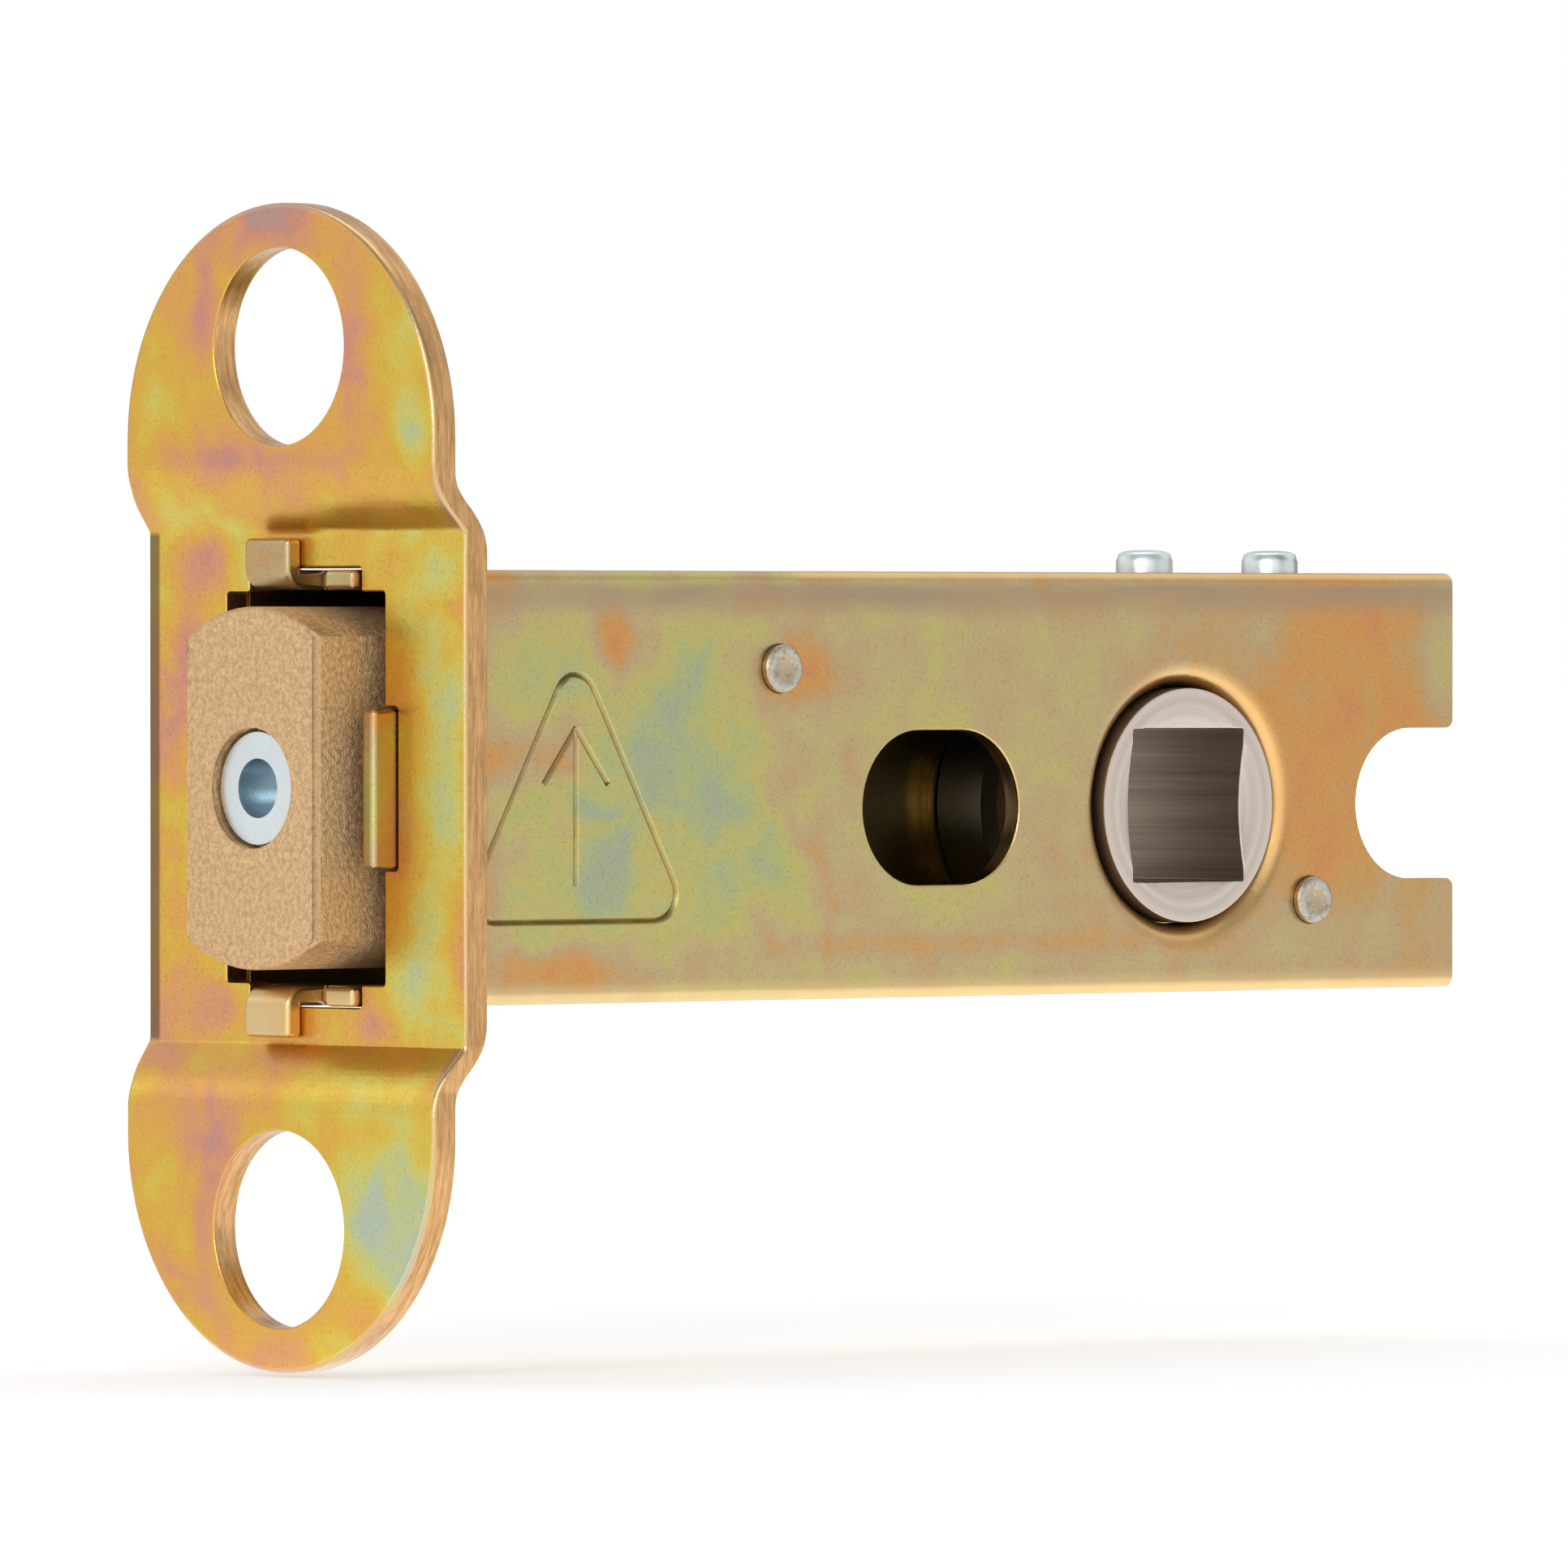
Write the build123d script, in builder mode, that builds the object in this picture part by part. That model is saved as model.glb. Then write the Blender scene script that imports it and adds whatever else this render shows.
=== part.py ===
from build123d import *
from math import sqrt
import os

# Tubular deadbolt, retracted. Millimetres.
# The origin lies midway between the two screw holes, on the front face of the inner forend's ears.
# +X runs along the case into the door, +Z is up, and the bolt is thrown towards -X.

# Case: two pressed half shells that meet on the roof and on the floor
case_height = 22.0
case_width = 14.0
case_wall = 1.0
case_bend_radius = 0.6
seam_gap = 0.1
backset = 57.0
case_tail = 19.5
spindle_drop = 1.2

# Openings for the through-bolts of the door furniture, before and behind the spindle
fixing_inner = 12.25
fixing_height = 8.0
fixing_length = 11.0
notch_mouth_radius = 0.5

# Inner forend: a joggled plate with two rounded ears
forend_thickness = 1.5
middle_recess = 1.8
middle_width = 24.5
middle_margin = 0.35
joggle_run = 2.15
joggle_inner_radius = 0.3
ear_bend_radius = 3.5
ear_width = 23.8
ear_land = 2.25
screw_spacing = 44.5
screw_hole_diameter = 10.0

# Tabs of the case that pass through the forend
side_tab_height = 8.0
side_tab_proud = 1.5
side_tab_edge_radius = 0.3
stub_width = 2.2
stub_offset = 3.1
stub_proud = 0.5
bent_tab_width = 3.4
bent_tab_offset = 1.9
bent_tab_reach = 1.6
tab_bend_radius = 0.05
notch_clearance = 0.08
notch_side_clearance = 0.1

# Bolt head: a round bar with two flats
bolt_side_gap = 1.0
bolt_end_gap = 0.85
bolt_length = 21.8
bolt_proud = 1.8
bolt_edge_chamfer = 0.5
opening_side_gap = 1.1
opening_end_gap = 0.75

# Bolt stem: riveted over in the bolt's face, forked at the rear
stem_diameter = 5.0
stem_bore_clearance = 0.05
stem_head_diameter = 5.7
stem_head_thickness = 0.75
stem_head_recess = 0.45
stem_recess_gap = 0.2
stem_hole_diameter = 3.0
stem_hole_depth = 2.0
stem_collar_thickness = 1.5
stem_collar_lip = 0.5
fork_length = 7.5
fork_clearance = 0.05
stem_pin_diameter = 2.0
stem_pin_setback = 4.0
stem_pin_end_gap = 0.2
stem_pin_clearance = 0.03
fork_slot_front_gap = 0.5

# Tail plate: carries the follower's turn to the stem
plate_thickness = 2.4
plate_roof_gap = 0.2
plate_bridge = 1.0
plate_front_gap = 1.0
tongue_drop = 3.0
tongue_tail = 4.0
strip_step_height = 1.7
strip_step_gap = 0.6
lug_width = 2.65

# Cross pins, riveted through both walls
cross_pin_diameter = 2.5
cross_pin_clearance = 0.03
cross_pin_proud = 0.55
guide_pin_setback = 7.9
guide_pin_depth = 4.0
guide_clearance = 0.05
fork_pin_gap = 0.75
tie_pin_setback = 8.9
tie_pin_height = 3.75

# Follower: turned journals, a detent cam on the near side and a driving nose in the middle
spindle_square = 8.0
journal_wall = 0.5
journal_clearance = 0.065
collar_depth = 1.0
collar_lip_radius = 1.5
shoulder_rise = 0.85
shoulder_gap = 0.1
hub_half_thickness = 1.5
hub_wall = 1.0
hub_corner_wall = 0.74
cam_wall = 1.2
nose_radius = 1.4
nose_clearance = 0.115
neck_width = 2.1
drive_clearance = 0.45
lug_clearance = 1.2

# Detent spring: a hairpin leaf hung from the roof by two rivets
spring_thickness = 0.55
spring_width = 2.6
spring_offset = 3.4
spring_cam_gap = 0.1
spring_front_overhang = 3.0
spring_rear_reach = 11.5
spring_toe_reach = 6.5
rivet_head_diameter = 3.0
rivet_head_height = 1.2
rivet_shank_diameter = 1.8
rivet_hole_clearance = 0.04
rivet_tail_diameter = 2.6
rivet_tail_height = 0.6
rivet_front_setback = 0.2
rivet_pitch = 9.2

# Worked out from the driving dimensions
inner_height = case_height - 2 * case_wall
inner_width = case_width - 2 * case_wall
case_front = middle_recess + forend_thickness
case_end = backset + case_tail
case_length = case_end - case_front
roof_inside = inner_height / 2
axis_z = -spindle_drop
bolt_width = inner_width - 2 * bolt_side_gap
bolt_height = inner_height - 2 * bolt_end_gap
bolt_front = -bolt_proud
bolt_rear = bolt_front + bolt_length
middle_half = case_height / 2 + bent_tab_reach + middle_margin
ear_half = middle_half + joggle_run
forend_half = screw_spacing / 2 + screw_hole_diameter / 2 + ear_land
journal_radius = spindle_square * sqrt(2) / 2 + journal_wall
bore_radius = journal_radius + journal_clearance
shoulder_radius = journal_radius + shoulder_rise
shoulder_end = inner_width / 2 - collar_depth - shoulder_gap
cam_flat = spindle_square / 2 + cam_wall
hub_flat = spindle_square / 2 + hub_wall
hub_radius = spindle_square * sqrt(2) / 2 + hub_corner_wall
plate_top = roof_inside - plate_roof_gap
slot_top = plate_top - plate_bridge
nose_reach = slot_top - nose_clearance - nose_radius - axis_z
bolt_throw = nose_reach * sqrt(2)
drive_x = backset + bolt_throw / 2
drive_half_width = nose_radius + drive_clearance
guide_pin_x = bolt_rear + guide_pin_setback
guide_pin_z = roof_inside - guide_pin_depth
tie_pin_x = backset + tie_pin_setback
tie_pin_z = tie_pin_height - roof_inside
fork_diameter = 2 * (guide_pin_z - cross_pin_diameter / 2 - fork_pin_gap)
fork_front = bolt_rear + stem_collar_thickness
stem_pin_x = fork_front + stem_pin_setback
rivet_places = [backset + rivet_front_setback, backset + rivet_front_setback + rivet_pitch]


# Half shell: one wall with half the roof and half the floor. side is -1 near and +1 far.
def half_shell(side):
    wall_face = Plane(origin=(0, side * case_width / 2, 0), x_dir=(side, 0, 0), z_dir=(0, -side, 0))
    bore_place = (side * backset, axis_z)
    with BuildPart() as shell:
        with BuildSketch(Plane.YZ.offset(case_front)):
            RectangleRounded(case_width, case_height, case_bend_radius)
            Rectangle(inner_width, inner_height, mode=Mode.SUBTRACT)
            with Locations((-side * (case_width - seam_gap) / 2, 0)):
                Rectangle(case_width, 2 * case_height, mode=Mode.SUBTRACT)
        extrude(amount=case_length)

        # Collar drawn inwards round the follower's journal
        with BuildSketch(wall_face.offset(case_wall / 2)):
            with Locations(bore_place):
                Circle(bore_radius + case_wall)
        extrude(amount=case_wall / 2 + collar_depth)
        with BuildSketch(wall_face):
            with Locations(bore_place):
                Circle(bore_radius)
        extrude(amount=case_wall + collar_depth, mode=Mode.SUBTRACT)
        lip = shell.edges().filter_by(GeomType.CIRCLE)
        lip = lip.filter_by(lambda edge: abs(abs(edge.center().Y) - case_width / 2) < case_wall / 10)
        fillet(lip, collar_lip_radius)

        # Through-bolt openings: a closed slot in front and a notch open at the rear end
        slot_x = backset - fixing_inner - fixing_length / 2
        notch_x = backset + fixing_inner + fixing_height / 2
        with BuildSketch(wall_face):
            with Locations((side * slot_x, axis_z)):
                SlotOverall(fixing_length, fixing_height)
            with Locations((side * notch_x, axis_z)):
                Circle(fixing_height / 2)
            with Locations((side * (notch_x + case_tail / 2), axis_z)):
                Rectangle(case_tail, fixing_height)
        extrude(amount=case_wall, mode=Mode.SUBTRACT)
        mouth = shell.edges().filter_by(Axis.Y).group_by(Axis.X)[-1]
        mouth = mouth.filter_by(lambda edge: abs(edge.center().Z - axis_z) < fixing_height / 2 + case_wall)
        fillet(mouth, notch_mouth_radius)

        # Holes for the two cross pins
        with BuildSketch(wall_face):
            with Locations((side * guide_pin_x, guide_pin_z), (side * tie_pin_x, tie_pin_z)):
                Circle(cross_pin_diameter / 2 + cross_pin_clearance)
        extrude(amount=case_wall, mode=Mode.SUBTRACT)

        # Side tab, straight through the forend
        side_tab_front = middle_recess - side_tab_proud
        side_tab_length = case_front - side_tab_front
        with BuildSketch(wall_face):
            with Locations((side * (side_tab_front + side_tab_length / 2), 0)):
                Rectangle(side_tab_length, side_tab_height)
        extrude(amount=case_wall)
        tab_edges = shell.edges().filter_by(Axis.Z).group_by(Axis.X)[0]
        fillet(tab_edges, side_tab_edge_radius)
    return shell.part


near_shell = half_shell(-1)
far_shell = half_shell(1)

# Near half: straight stubs at the front and the rivet holes in the roof
with BuildPart() as case_near_half:
    add(near_shell)
    stub_front = middle_recess - stub_proud
    stub_length = case_front - stub_front
    with BuildSketch(Plane.YZ.offset(stub_front)):
        stub_z = (case_height - case_wall) / 2
        with Locations((-stub_offset, stub_z), (-stub_offset, -stub_z)):
            Rectangle(stub_width, case_wall)
    extrude(amount=stub_length)
    with BuildSketch(Plane.XY.offset(roof_inside)):
        with Locations(*[(x, -spring_offset) for x in rivet_places]):
            Circle(rivet_shank_diameter / 2 + rivet_hole_clearance)
    extrude(amount=case_wall, mode=Mode.SUBTRACT)

# Far half: the top and bottom tabs are bent over the forend's front
with BuildPart() as case_far_half:
    add(far_shell)
    tab_face = middle_recess - case_wall
    tab_top = case_height / 2 + bent_tab_reach
    inner_corner = (middle_recess, case_height / 2)
    with BuildSketch(Plane.XZ.offset(-bent_tab_offset)) as bent_tab:
        with BuildLine():
            Polyline(
                (case_front, roof_inside),
                (tab_face, roof_inside),
                (tab_face, tab_top),
                (middle_recess, tab_top),
                inner_corner,
                (case_front, case_height / 2),
                close=True,
            )
        make_face()
        outer_bend = bent_tab.vertices().group_by(Axis.X)[0].sort_by(Axis.Y)[0]
        inner_bend = bent_tab.vertices().sort_by_distance(inner_corner)[0]
        fillet(outer_bend, case_wall + tab_bend_radius)
        fillet(inner_bend, tab_bend_radius)
        mirror(about=Plane.XZ)
    extrude(amount=bent_tab_width / 2, both=True)

# Inner forend: side profile across the full width, cut to the front outline, then pierced
with BuildPart() as inner_forend:
    with BuildSketch(Plane.XZ) as joggle:
        with BuildLine():
            Polyline(
                (0, forend_half),
                (0, ear_half),
                (middle_recess, middle_half),
                (middle_recess, -middle_half),
                (0, -ear_half),
                (0, -forend_half),
                (forend_thickness, -forend_half),
                (forend_thickness, -ear_half),
                (case_front, -middle_half),
                (case_front, middle_half),
                (forend_thickness, ear_half),
                (forend_thickness, forend_half),
                close=True,
            )
        make_face()
        bends = joggle.vertices().filter_by(lambda point: abs(point.Y) < forend_half)
        ear_bends = bends.group_by(Axis.X)[0]
        rear_bends = bends.group_by(Axis.X)[-1]
        inner_bends = bends.group_by(Axis.X)[1] + bends.group_by(Axis.X)[2]
        fillet(ear_bends, ear_bend_radius)
        fillet(rear_bends, joggle_inner_radius + forend_thickness)
        fillet(inner_bends, joggle_inner_radius)
    extrude(amount=middle_width, both=True)
    with BuildSketch(Plane.YZ):
        with BuildLine():
            Polyline(
                (-middle_width / 2, -middle_half),
                (-middle_width / 2, middle_half),
                (-ear_width / 2, ear_half),
                (ear_width / 2, ear_half),
                (middle_width / 2, middle_half),
                (middle_width / 2, -middle_half),
                (ear_width / 2, -ear_half),
                (-ear_width / 2, -ear_half),
                close=True,
            )
        make_face()
        SlotOverall(2 * forend_half, ear_width, rotation=90)
    extrude(amount=case_front, mode=Mode.INTERSECT)
    with BuildSketch(Plane.YZ):
        with Locations((0, screw_spacing / 2), (0, -screw_spacing / 2)):
            Circle(screw_hole_diameter / 2)
    extrude(amount=case_front, mode=Mode.SUBTRACT)
    with BuildSketch(Plane.YZ):
        Rectangle(bolt_width + 2 * opening_side_gap, bolt_height + 2 * opening_end_gap)
        notch_half_width = stub_offset + stub_width / 2 + notch_side_clearance
        Rectangle(2 * notch_half_width, case_height + 2 * notch_clearance)
        Rectangle(case_width + 2 * notch_clearance, side_tab_height + 2 * notch_side_clearance)
    extrude(amount=case_front, mode=Mode.SUBTRACT)

# Bolt head: round bar with two flats, bored for the stem and recessed for its riveted end
with BuildPart() as bolt_head:
    with BuildSketch(Plane.YZ.offset(bolt_front)):
        Circle(bolt_height / 2)
        Rectangle(bolt_width, bolt_height, mode=Mode.INTERSECT)
    extrude(amount=bolt_length)
    bolt_face = bolt_head.faces().sort_by(Axis.X)[0]
    chamfer(bolt_face.edges(), bolt_edge_chamfer)
    with Locations(Plane(origin=(bolt_front, 0, 0), x_dir=(0, 1, 0), z_dir=(-1, 0, 0))):
        CounterBoreHole(
            radius=stem_diameter / 2 + stem_bore_clearance,
            counter_bore_radius=stem_head_diameter / 2 + stem_recess_gap,
            counter_bore_depth=stem_head_recess + stem_head_thickness,
        )

# Bolt stem: turned profile, hollow at the front, with a fork for the tail plate at the rear
with BuildPart() as bolt_stem:
    stem_front = bolt_front + stem_head_recess
    stem_seat = stem_front + stem_head_thickness
    fork_end = fork_front + fork_length
    with BuildSketch(Plane.XZ):
        with BuildLine():
            Polyline(
                (stem_front, 0),
                (stem_front, stem_head_diameter / 2),
                (stem_seat, stem_head_diameter / 2),
                (stem_seat, stem_diameter / 2),
                (bolt_rear, stem_diameter / 2),
                (bolt_rear, fork_diameter / 2 + stem_collar_lip),
                (fork_front, fork_diameter / 2 + stem_collar_lip),
                (fork_front, fork_diameter / 2),
                (fork_end, fork_diameter / 2),
                (fork_end, 0),
                close=True,
            )
        make_face()
    revolve(axis=Axis.X)
    with Locations(Plane(origin=(stem_front, 0, 0), x_dir=(0, 1, 0), z_dir=(-1, 0, 0))):
        Hole(radius=stem_hole_diameter / 2, depth=stem_hole_depth)
    fork_slot_front = fork_front + fork_slot_front_gap
    with BuildSketch(Plane.XY.offset(-fork_diameter)):
        with Locations(((fork_slot_front + fork_end) / 2, 0)):
            Rectangle(fork_end - fork_slot_front, plate_thickness + 2 * fork_clearance)
    extrude(amount=2 * fork_diameter, mode=Mode.SUBTRACT)
    with BuildSketch(Plane.XZ.offset(-fork_diameter)):
        with Locations((stem_pin_x, 0)):
            Circle(stem_pin_diameter / 2 + stem_pin_clearance)
    extrude(amount=2 * fork_diameter, mode=Mode.SUBTRACT)

# Stem pin: through the fork and the tongue of the tail plate
with BuildPart() as stem_pin:
    stem_pin_half = fork_diameter / 2 - stem_pin_end_gap
    with BuildSketch(Plane.XZ):
        with Locations((stem_pin_x, 0)):
            Circle(stem_pin_diameter / 2)
    extrude(amount=stem_pin_half, both=True)

# Tail plate: tongue in the fork, strip with the guide slot, and a drive slot open below at the rear
with BuildPart() as tail_plate:
    plate_front = fork_front + plate_front_gap
    tongue_rear = stem_pin_x + tongue_tail
    lug_bottom = axis_z + hub_flat + lug_clearance
    strip_bottom = lug_bottom - strip_step_height
    strip_step = backset - hub_radius - strip_step_gap
    plate_rear = drive_x + drive_half_width + lug_width
    with BuildSketch(Plane.XZ):
        with BuildLine():
            Polyline(
                (plate_front, -tongue_drop),
                (tongue_rear, -tongue_drop),
                (tongue_rear, strip_bottom),
                (strip_step, strip_bottom),
                (strip_step, lug_bottom),
                (drive_x - drive_half_width, lug_bottom),
                (drive_x - drive_half_width, slot_top),
                (drive_x + drive_half_width, slot_top),
                (drive_x + drive_half_width, lug_bottom),
                (plate_rear, lug_bottom),
                (plate_rear, plate_top),
                (plate_front, plate_top),
                close=True,
            )
        make_face()
        with Locations((guide_pin_x + bolt_throw / 2, guide_pin_z)):
            slot_height = cross_pin_diameter + 2 * guide_clearance
            SlotCenterToCenter(bolt_throw, slot_height, mode=Mode.SUBTRACT)
        with Locations((stem_pin_x, 0)):
            Circle(stem_pin_diameter / 2 + stem_pin_clearance, mode=Mode.SUBTRACT)
    extrude(amount=plate_thickness / 2, both=True)

# Follower: journals in the two collars, a square detent cam, a round shoulder and the driving nose
with BuildPart() as follower:
    spindle_plane = Plane(origin=(backset, 0, axis_z), x_dir=(1, 0, 0), z_dir=(0, -1, 0))
    with BuildSketch(spindle_plane.offset(shoulder_end), spindle_plane.offset(-case_width / 2)):
        Circle(journal_radius)
    extrude(amount=case_width / 2 - shoulder_end)
    with BuildSketch(spindle_plane.offset(-shoulder_end)):
        Circle(shoulder_radius)
    extrude(amount=shoulder_end - hub_half_thickness)
    with BuildSketch(spindle_plane.offset(-hub_half_thickness)):
        Circle(hub_radius)
        Rectangle(2 * hub_flat, 2 * hub_flat, mode=Mode.INTERSECT)
        with PolarLocations(nose_reach / 2, 1, start_angle=45):
            Rectangle(nose_reach, neck_width)
        with PolarLocations(nose_reach, 1, start_angle=45):
            Circle(nose_radius)
    extrude(amount=2 * hub_half_thickness)
    with BuildSketch(spindle_plane.offset(hub_half_thickness)):
        Circle(shoulder_radius)
        Rectangle(2 * cam_flat, 2 * cam_flat, mode=Mode.INTERSECT)
    extrude(amount=shoulder_end - hub_half_thickness)
    with BuildSketch(spindle_plane.offset(-case_width / 2)):
        Rectangle(spindle_square, spindle_square)
    extrude(amount=case_width, mode=Mode.SUBTRACT)

# Detent spring: hairpin leaf, its upper leg on the roof and its lower leg over the follower's cam
with BuildPart() as detent_spring:
    upper_z = roof_inside - spring_thickness / 2
    lower_z = axis_z + cam_flat + spring_cam_gap + spring_thickness / 2
    bend_x = backset + spring_rear_reach
    bend_radius = (upper_z - lower_z) / 2
    toe_x = backset - spring_toe_reach
    with BuildSketch(Plane.XZ.offset(spring_offset)):
        with BuildLine():
            Line((rivet_places[0] - spring_front_overhang, upper_z), (bend_x, upper_z))
            bend_tip = (bend_x + bend_radius, upper_z - bend_radius)
            ThreePointArc((bend_x, upper_z), bend_tip, (bend_x, lower_z))
            Line((bend_x, lower_z), (toe_x, lower_z))
        trace(line_width=spring_thickness)
    extrude(amount=spring_width / 2, both=True)
    with BuildSketch(Plane.XY.offset(roof_inside)):
        with Locations(*[(x, -spring_offset) for x in rivet_places]):
            Circle(rivet_shank_diameter / 2 + rivet_hole_clearance)
    extrude(amount=-spring_thickness, mode=Mode.SUBTRACT)

# Spring rivets: round heads on the roof, tails formed under the spring's upper leg
with BuildPart() as spring_rivets:
    rivet_points = [(x, -spring_offset) for x in rivet_places]
    tail_z = roof_inside - spring_thickness
    with BuildSketch(Plane.XY.offset(case_height / 2)):
        with Locations(*rivet_points):
            Circle(rivet_head_diameter / 2)
    extrude(amount=rivet_head_height)
    with BuildSketch(Plane.XY.offset(tail_z)):
        with Locations(*rivet_points):
            Circle(rivet_shank_diameter / 2)
    extrude(amount=case_height / 2 - tail_z)
    with BuildSketch(Plane.XY.offset(tail_z - rivet_tail_height)):
        with Locations(*rivet_points):
            Circle(rivet_tail_diameter / 2)
    extrude(amount=rivet_tail_height)


# Cross pin: riveted at both ends, which stand proud of the walls
def cross_pin(x, z):
    half_length = case_width / 2 + cross_pin_proud
    with BuildPart() as pin:
        with BuildSketch(Plane.XZ):
            with Locations((x, z)):
                Circle(cross_pin_diameter / 2)
        extrude(amount=half_length, both=True)
    return pin


guide_pin = cross_pin(guide_pin_x, guide_pin_z)
tie_pin = cross_pin(tie_pin_x, tie_pin_z)

case_near_half.part.label = "case_near_half"
case_far_half.part.label = "case_far_half"
inner_forend.part.label = "inner_forend"
bolt_head.part.label = "bolt_head"
bolt_stem.part.label = "bolt_stem"
stem_pin.part.label = "stem_pin"
tail_plate.part.label = "tail_plate"
follower.part.label = "follower"
detent_spring.part.label = "detent_spring"
spring_rivets.part.label = "spring_rivets"
guide_pin.part.label = "guide_pin"
tie_pin.part.label = "tie_pin"

os.makedirs("parts", exist_ok=True)
export_step(case_near_half.part, "parts/case_near_half.step")
export_step(case_far_half.part, "parts/case_far_half.step")
export_step(inner_forend.part, "parts/inner_forend.step")
export_step(bolt_head.part, "parts/bolt_head.step")
export_step(bolt_stem.part, "parts/bolt_stem.step")
export_step(stem_pin.part, "parts/stem_pin.step")
export_step(tail_plate.part, "parts/tail_plate.step")
export_step(follower.part, "parts/follower.step")
export_step(detent_spring.part, "parts/detent_spring.step")
export_step(spring_rivets.part, "parts/spring_rivets.step")
export_step(guide_pin.part, "parts/guide_pin.step")
export_step(tie_pin.part, "parts/tie_pin.step")
print("bolt throw", round(bolt_throw, 3))
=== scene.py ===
from math import radians

import bmesh
import bpy
from mathutils import Matrix, Vector


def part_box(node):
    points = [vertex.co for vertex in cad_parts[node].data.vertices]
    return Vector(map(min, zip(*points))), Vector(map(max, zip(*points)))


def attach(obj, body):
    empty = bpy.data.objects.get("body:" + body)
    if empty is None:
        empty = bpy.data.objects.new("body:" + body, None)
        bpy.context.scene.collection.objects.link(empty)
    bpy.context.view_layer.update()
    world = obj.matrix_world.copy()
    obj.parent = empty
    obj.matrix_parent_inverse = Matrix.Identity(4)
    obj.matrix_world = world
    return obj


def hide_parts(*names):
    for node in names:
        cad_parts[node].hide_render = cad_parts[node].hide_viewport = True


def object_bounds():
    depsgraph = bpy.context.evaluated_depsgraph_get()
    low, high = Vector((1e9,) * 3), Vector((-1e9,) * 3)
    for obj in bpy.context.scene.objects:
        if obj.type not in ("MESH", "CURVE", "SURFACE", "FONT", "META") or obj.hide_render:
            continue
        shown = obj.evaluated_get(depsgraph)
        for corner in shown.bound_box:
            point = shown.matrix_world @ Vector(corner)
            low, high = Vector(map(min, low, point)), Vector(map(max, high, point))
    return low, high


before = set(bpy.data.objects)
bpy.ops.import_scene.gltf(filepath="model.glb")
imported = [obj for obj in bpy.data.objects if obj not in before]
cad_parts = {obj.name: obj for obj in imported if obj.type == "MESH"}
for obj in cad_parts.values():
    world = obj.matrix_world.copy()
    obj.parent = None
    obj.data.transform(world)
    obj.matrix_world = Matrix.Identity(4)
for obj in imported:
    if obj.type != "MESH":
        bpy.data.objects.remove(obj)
cad_low, cad_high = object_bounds()
scene = bpy.context.scene


# Follower
# The turning hub in the middle of the case, pressed and sintered from steel powder. Its two end faces are
# faced on a lathe, and its square hole is broached through for the spindle. It turns in the case's collars.

MM = 0.001
WELD_GAP = 0.002
SLIVER = 0.003
FLAT_ANGLE = radians(0.4)
CREASE = 40
STEEPEST = 35
SPINDLE = Vector((57.0, 0.0, -1.2))
FOLLOWER_END = 7.0
FOLLOWER_BORE = 5.9
FOLLOWER_EASE = 0.1
JOURNAL_ROOT = 4.9
DISH_RADIUS = 5.2
DISH_SLOPE = 0.33
DISH_OVERRUN = 0.2


def colour(red, green, blue):
    levels = []
    for level in (red, green, blue):
        share = level / 255
        levels.append(share / 12.92 if share <= 0.04045 else ((share + 0.055) / 1.055) ** 2.4)
    return (*levels, 1.0)


def put(tree, kind, sockets=None, **settings):
    node = tree.nodes.new(kind)
    for name, value in settings.items():
        setattr(node, name, value)
    for name, value in (sockets or {}).items():
        if isinstance(value, bpy.types.NodeSocket):
            tree.links.new(value, node.inputs[name])
        else:
            node.inputs[name].default_value = value
    return node


def reckon(tree, operation, *values):
    return put(tree, "ShaderNodeMath", dict(enumerate(values)), operation=operation).outputs[0]


def span(tree, value, start, end, low=0.0, high=1.0):
    sockets = {"Value": value, "From Min": start, "From Max": end, "To Min": low, "To Max": high}
    return put(tree, "ShaderNodeMapRange", sockets, interpolation_type="SMOOTHSTEP").outputs["Result"]


def blend(tree, share, first, second):
    node = put(tree, "ShaderNodeMix", {0: share}, data_type="RGBA")
    for socket, value in ((node.inputs[6], first), (node.inputs[7], second)):
        if isinstance(value, bpy.types.NodeSocket):
            tree.links.new(value, socket)
        else:
            socket.default_value = value
    return node.outputs[2]


def new_finish(name):
    material = bpy.data.materials.new(name)
    material.use_nodes = True
    tree = material.node_tree
    place = put(tree, "ShaderNodeTexCoord").outputs["Object"]
    return material, tree, tree.nodes["Principled BSDF"], place


def facing(tree, axis):
    normal = put(tree, "ShaderNodeTexCoord").outputs["Normal"]
    return reckon(tree, "ABSOLUTE", put(tree, "ShaderNodeSeparateXYZ", {0: normal}).outputs[axis])


def new_group(name, takes, gives):
    tree = bpy.data.node_groups.new(name, "ShaderNodeTree")
    for way, sockets in (("INPUT", takes), ("OUTPUT", gives)):
        for label, kind in sockets.items():
            tree.interface.new_socket(label, in_out=way, socket_type="NodeSocket" + kind)
    return tree, put(tree, "NodeGroupInput").outputs


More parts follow.
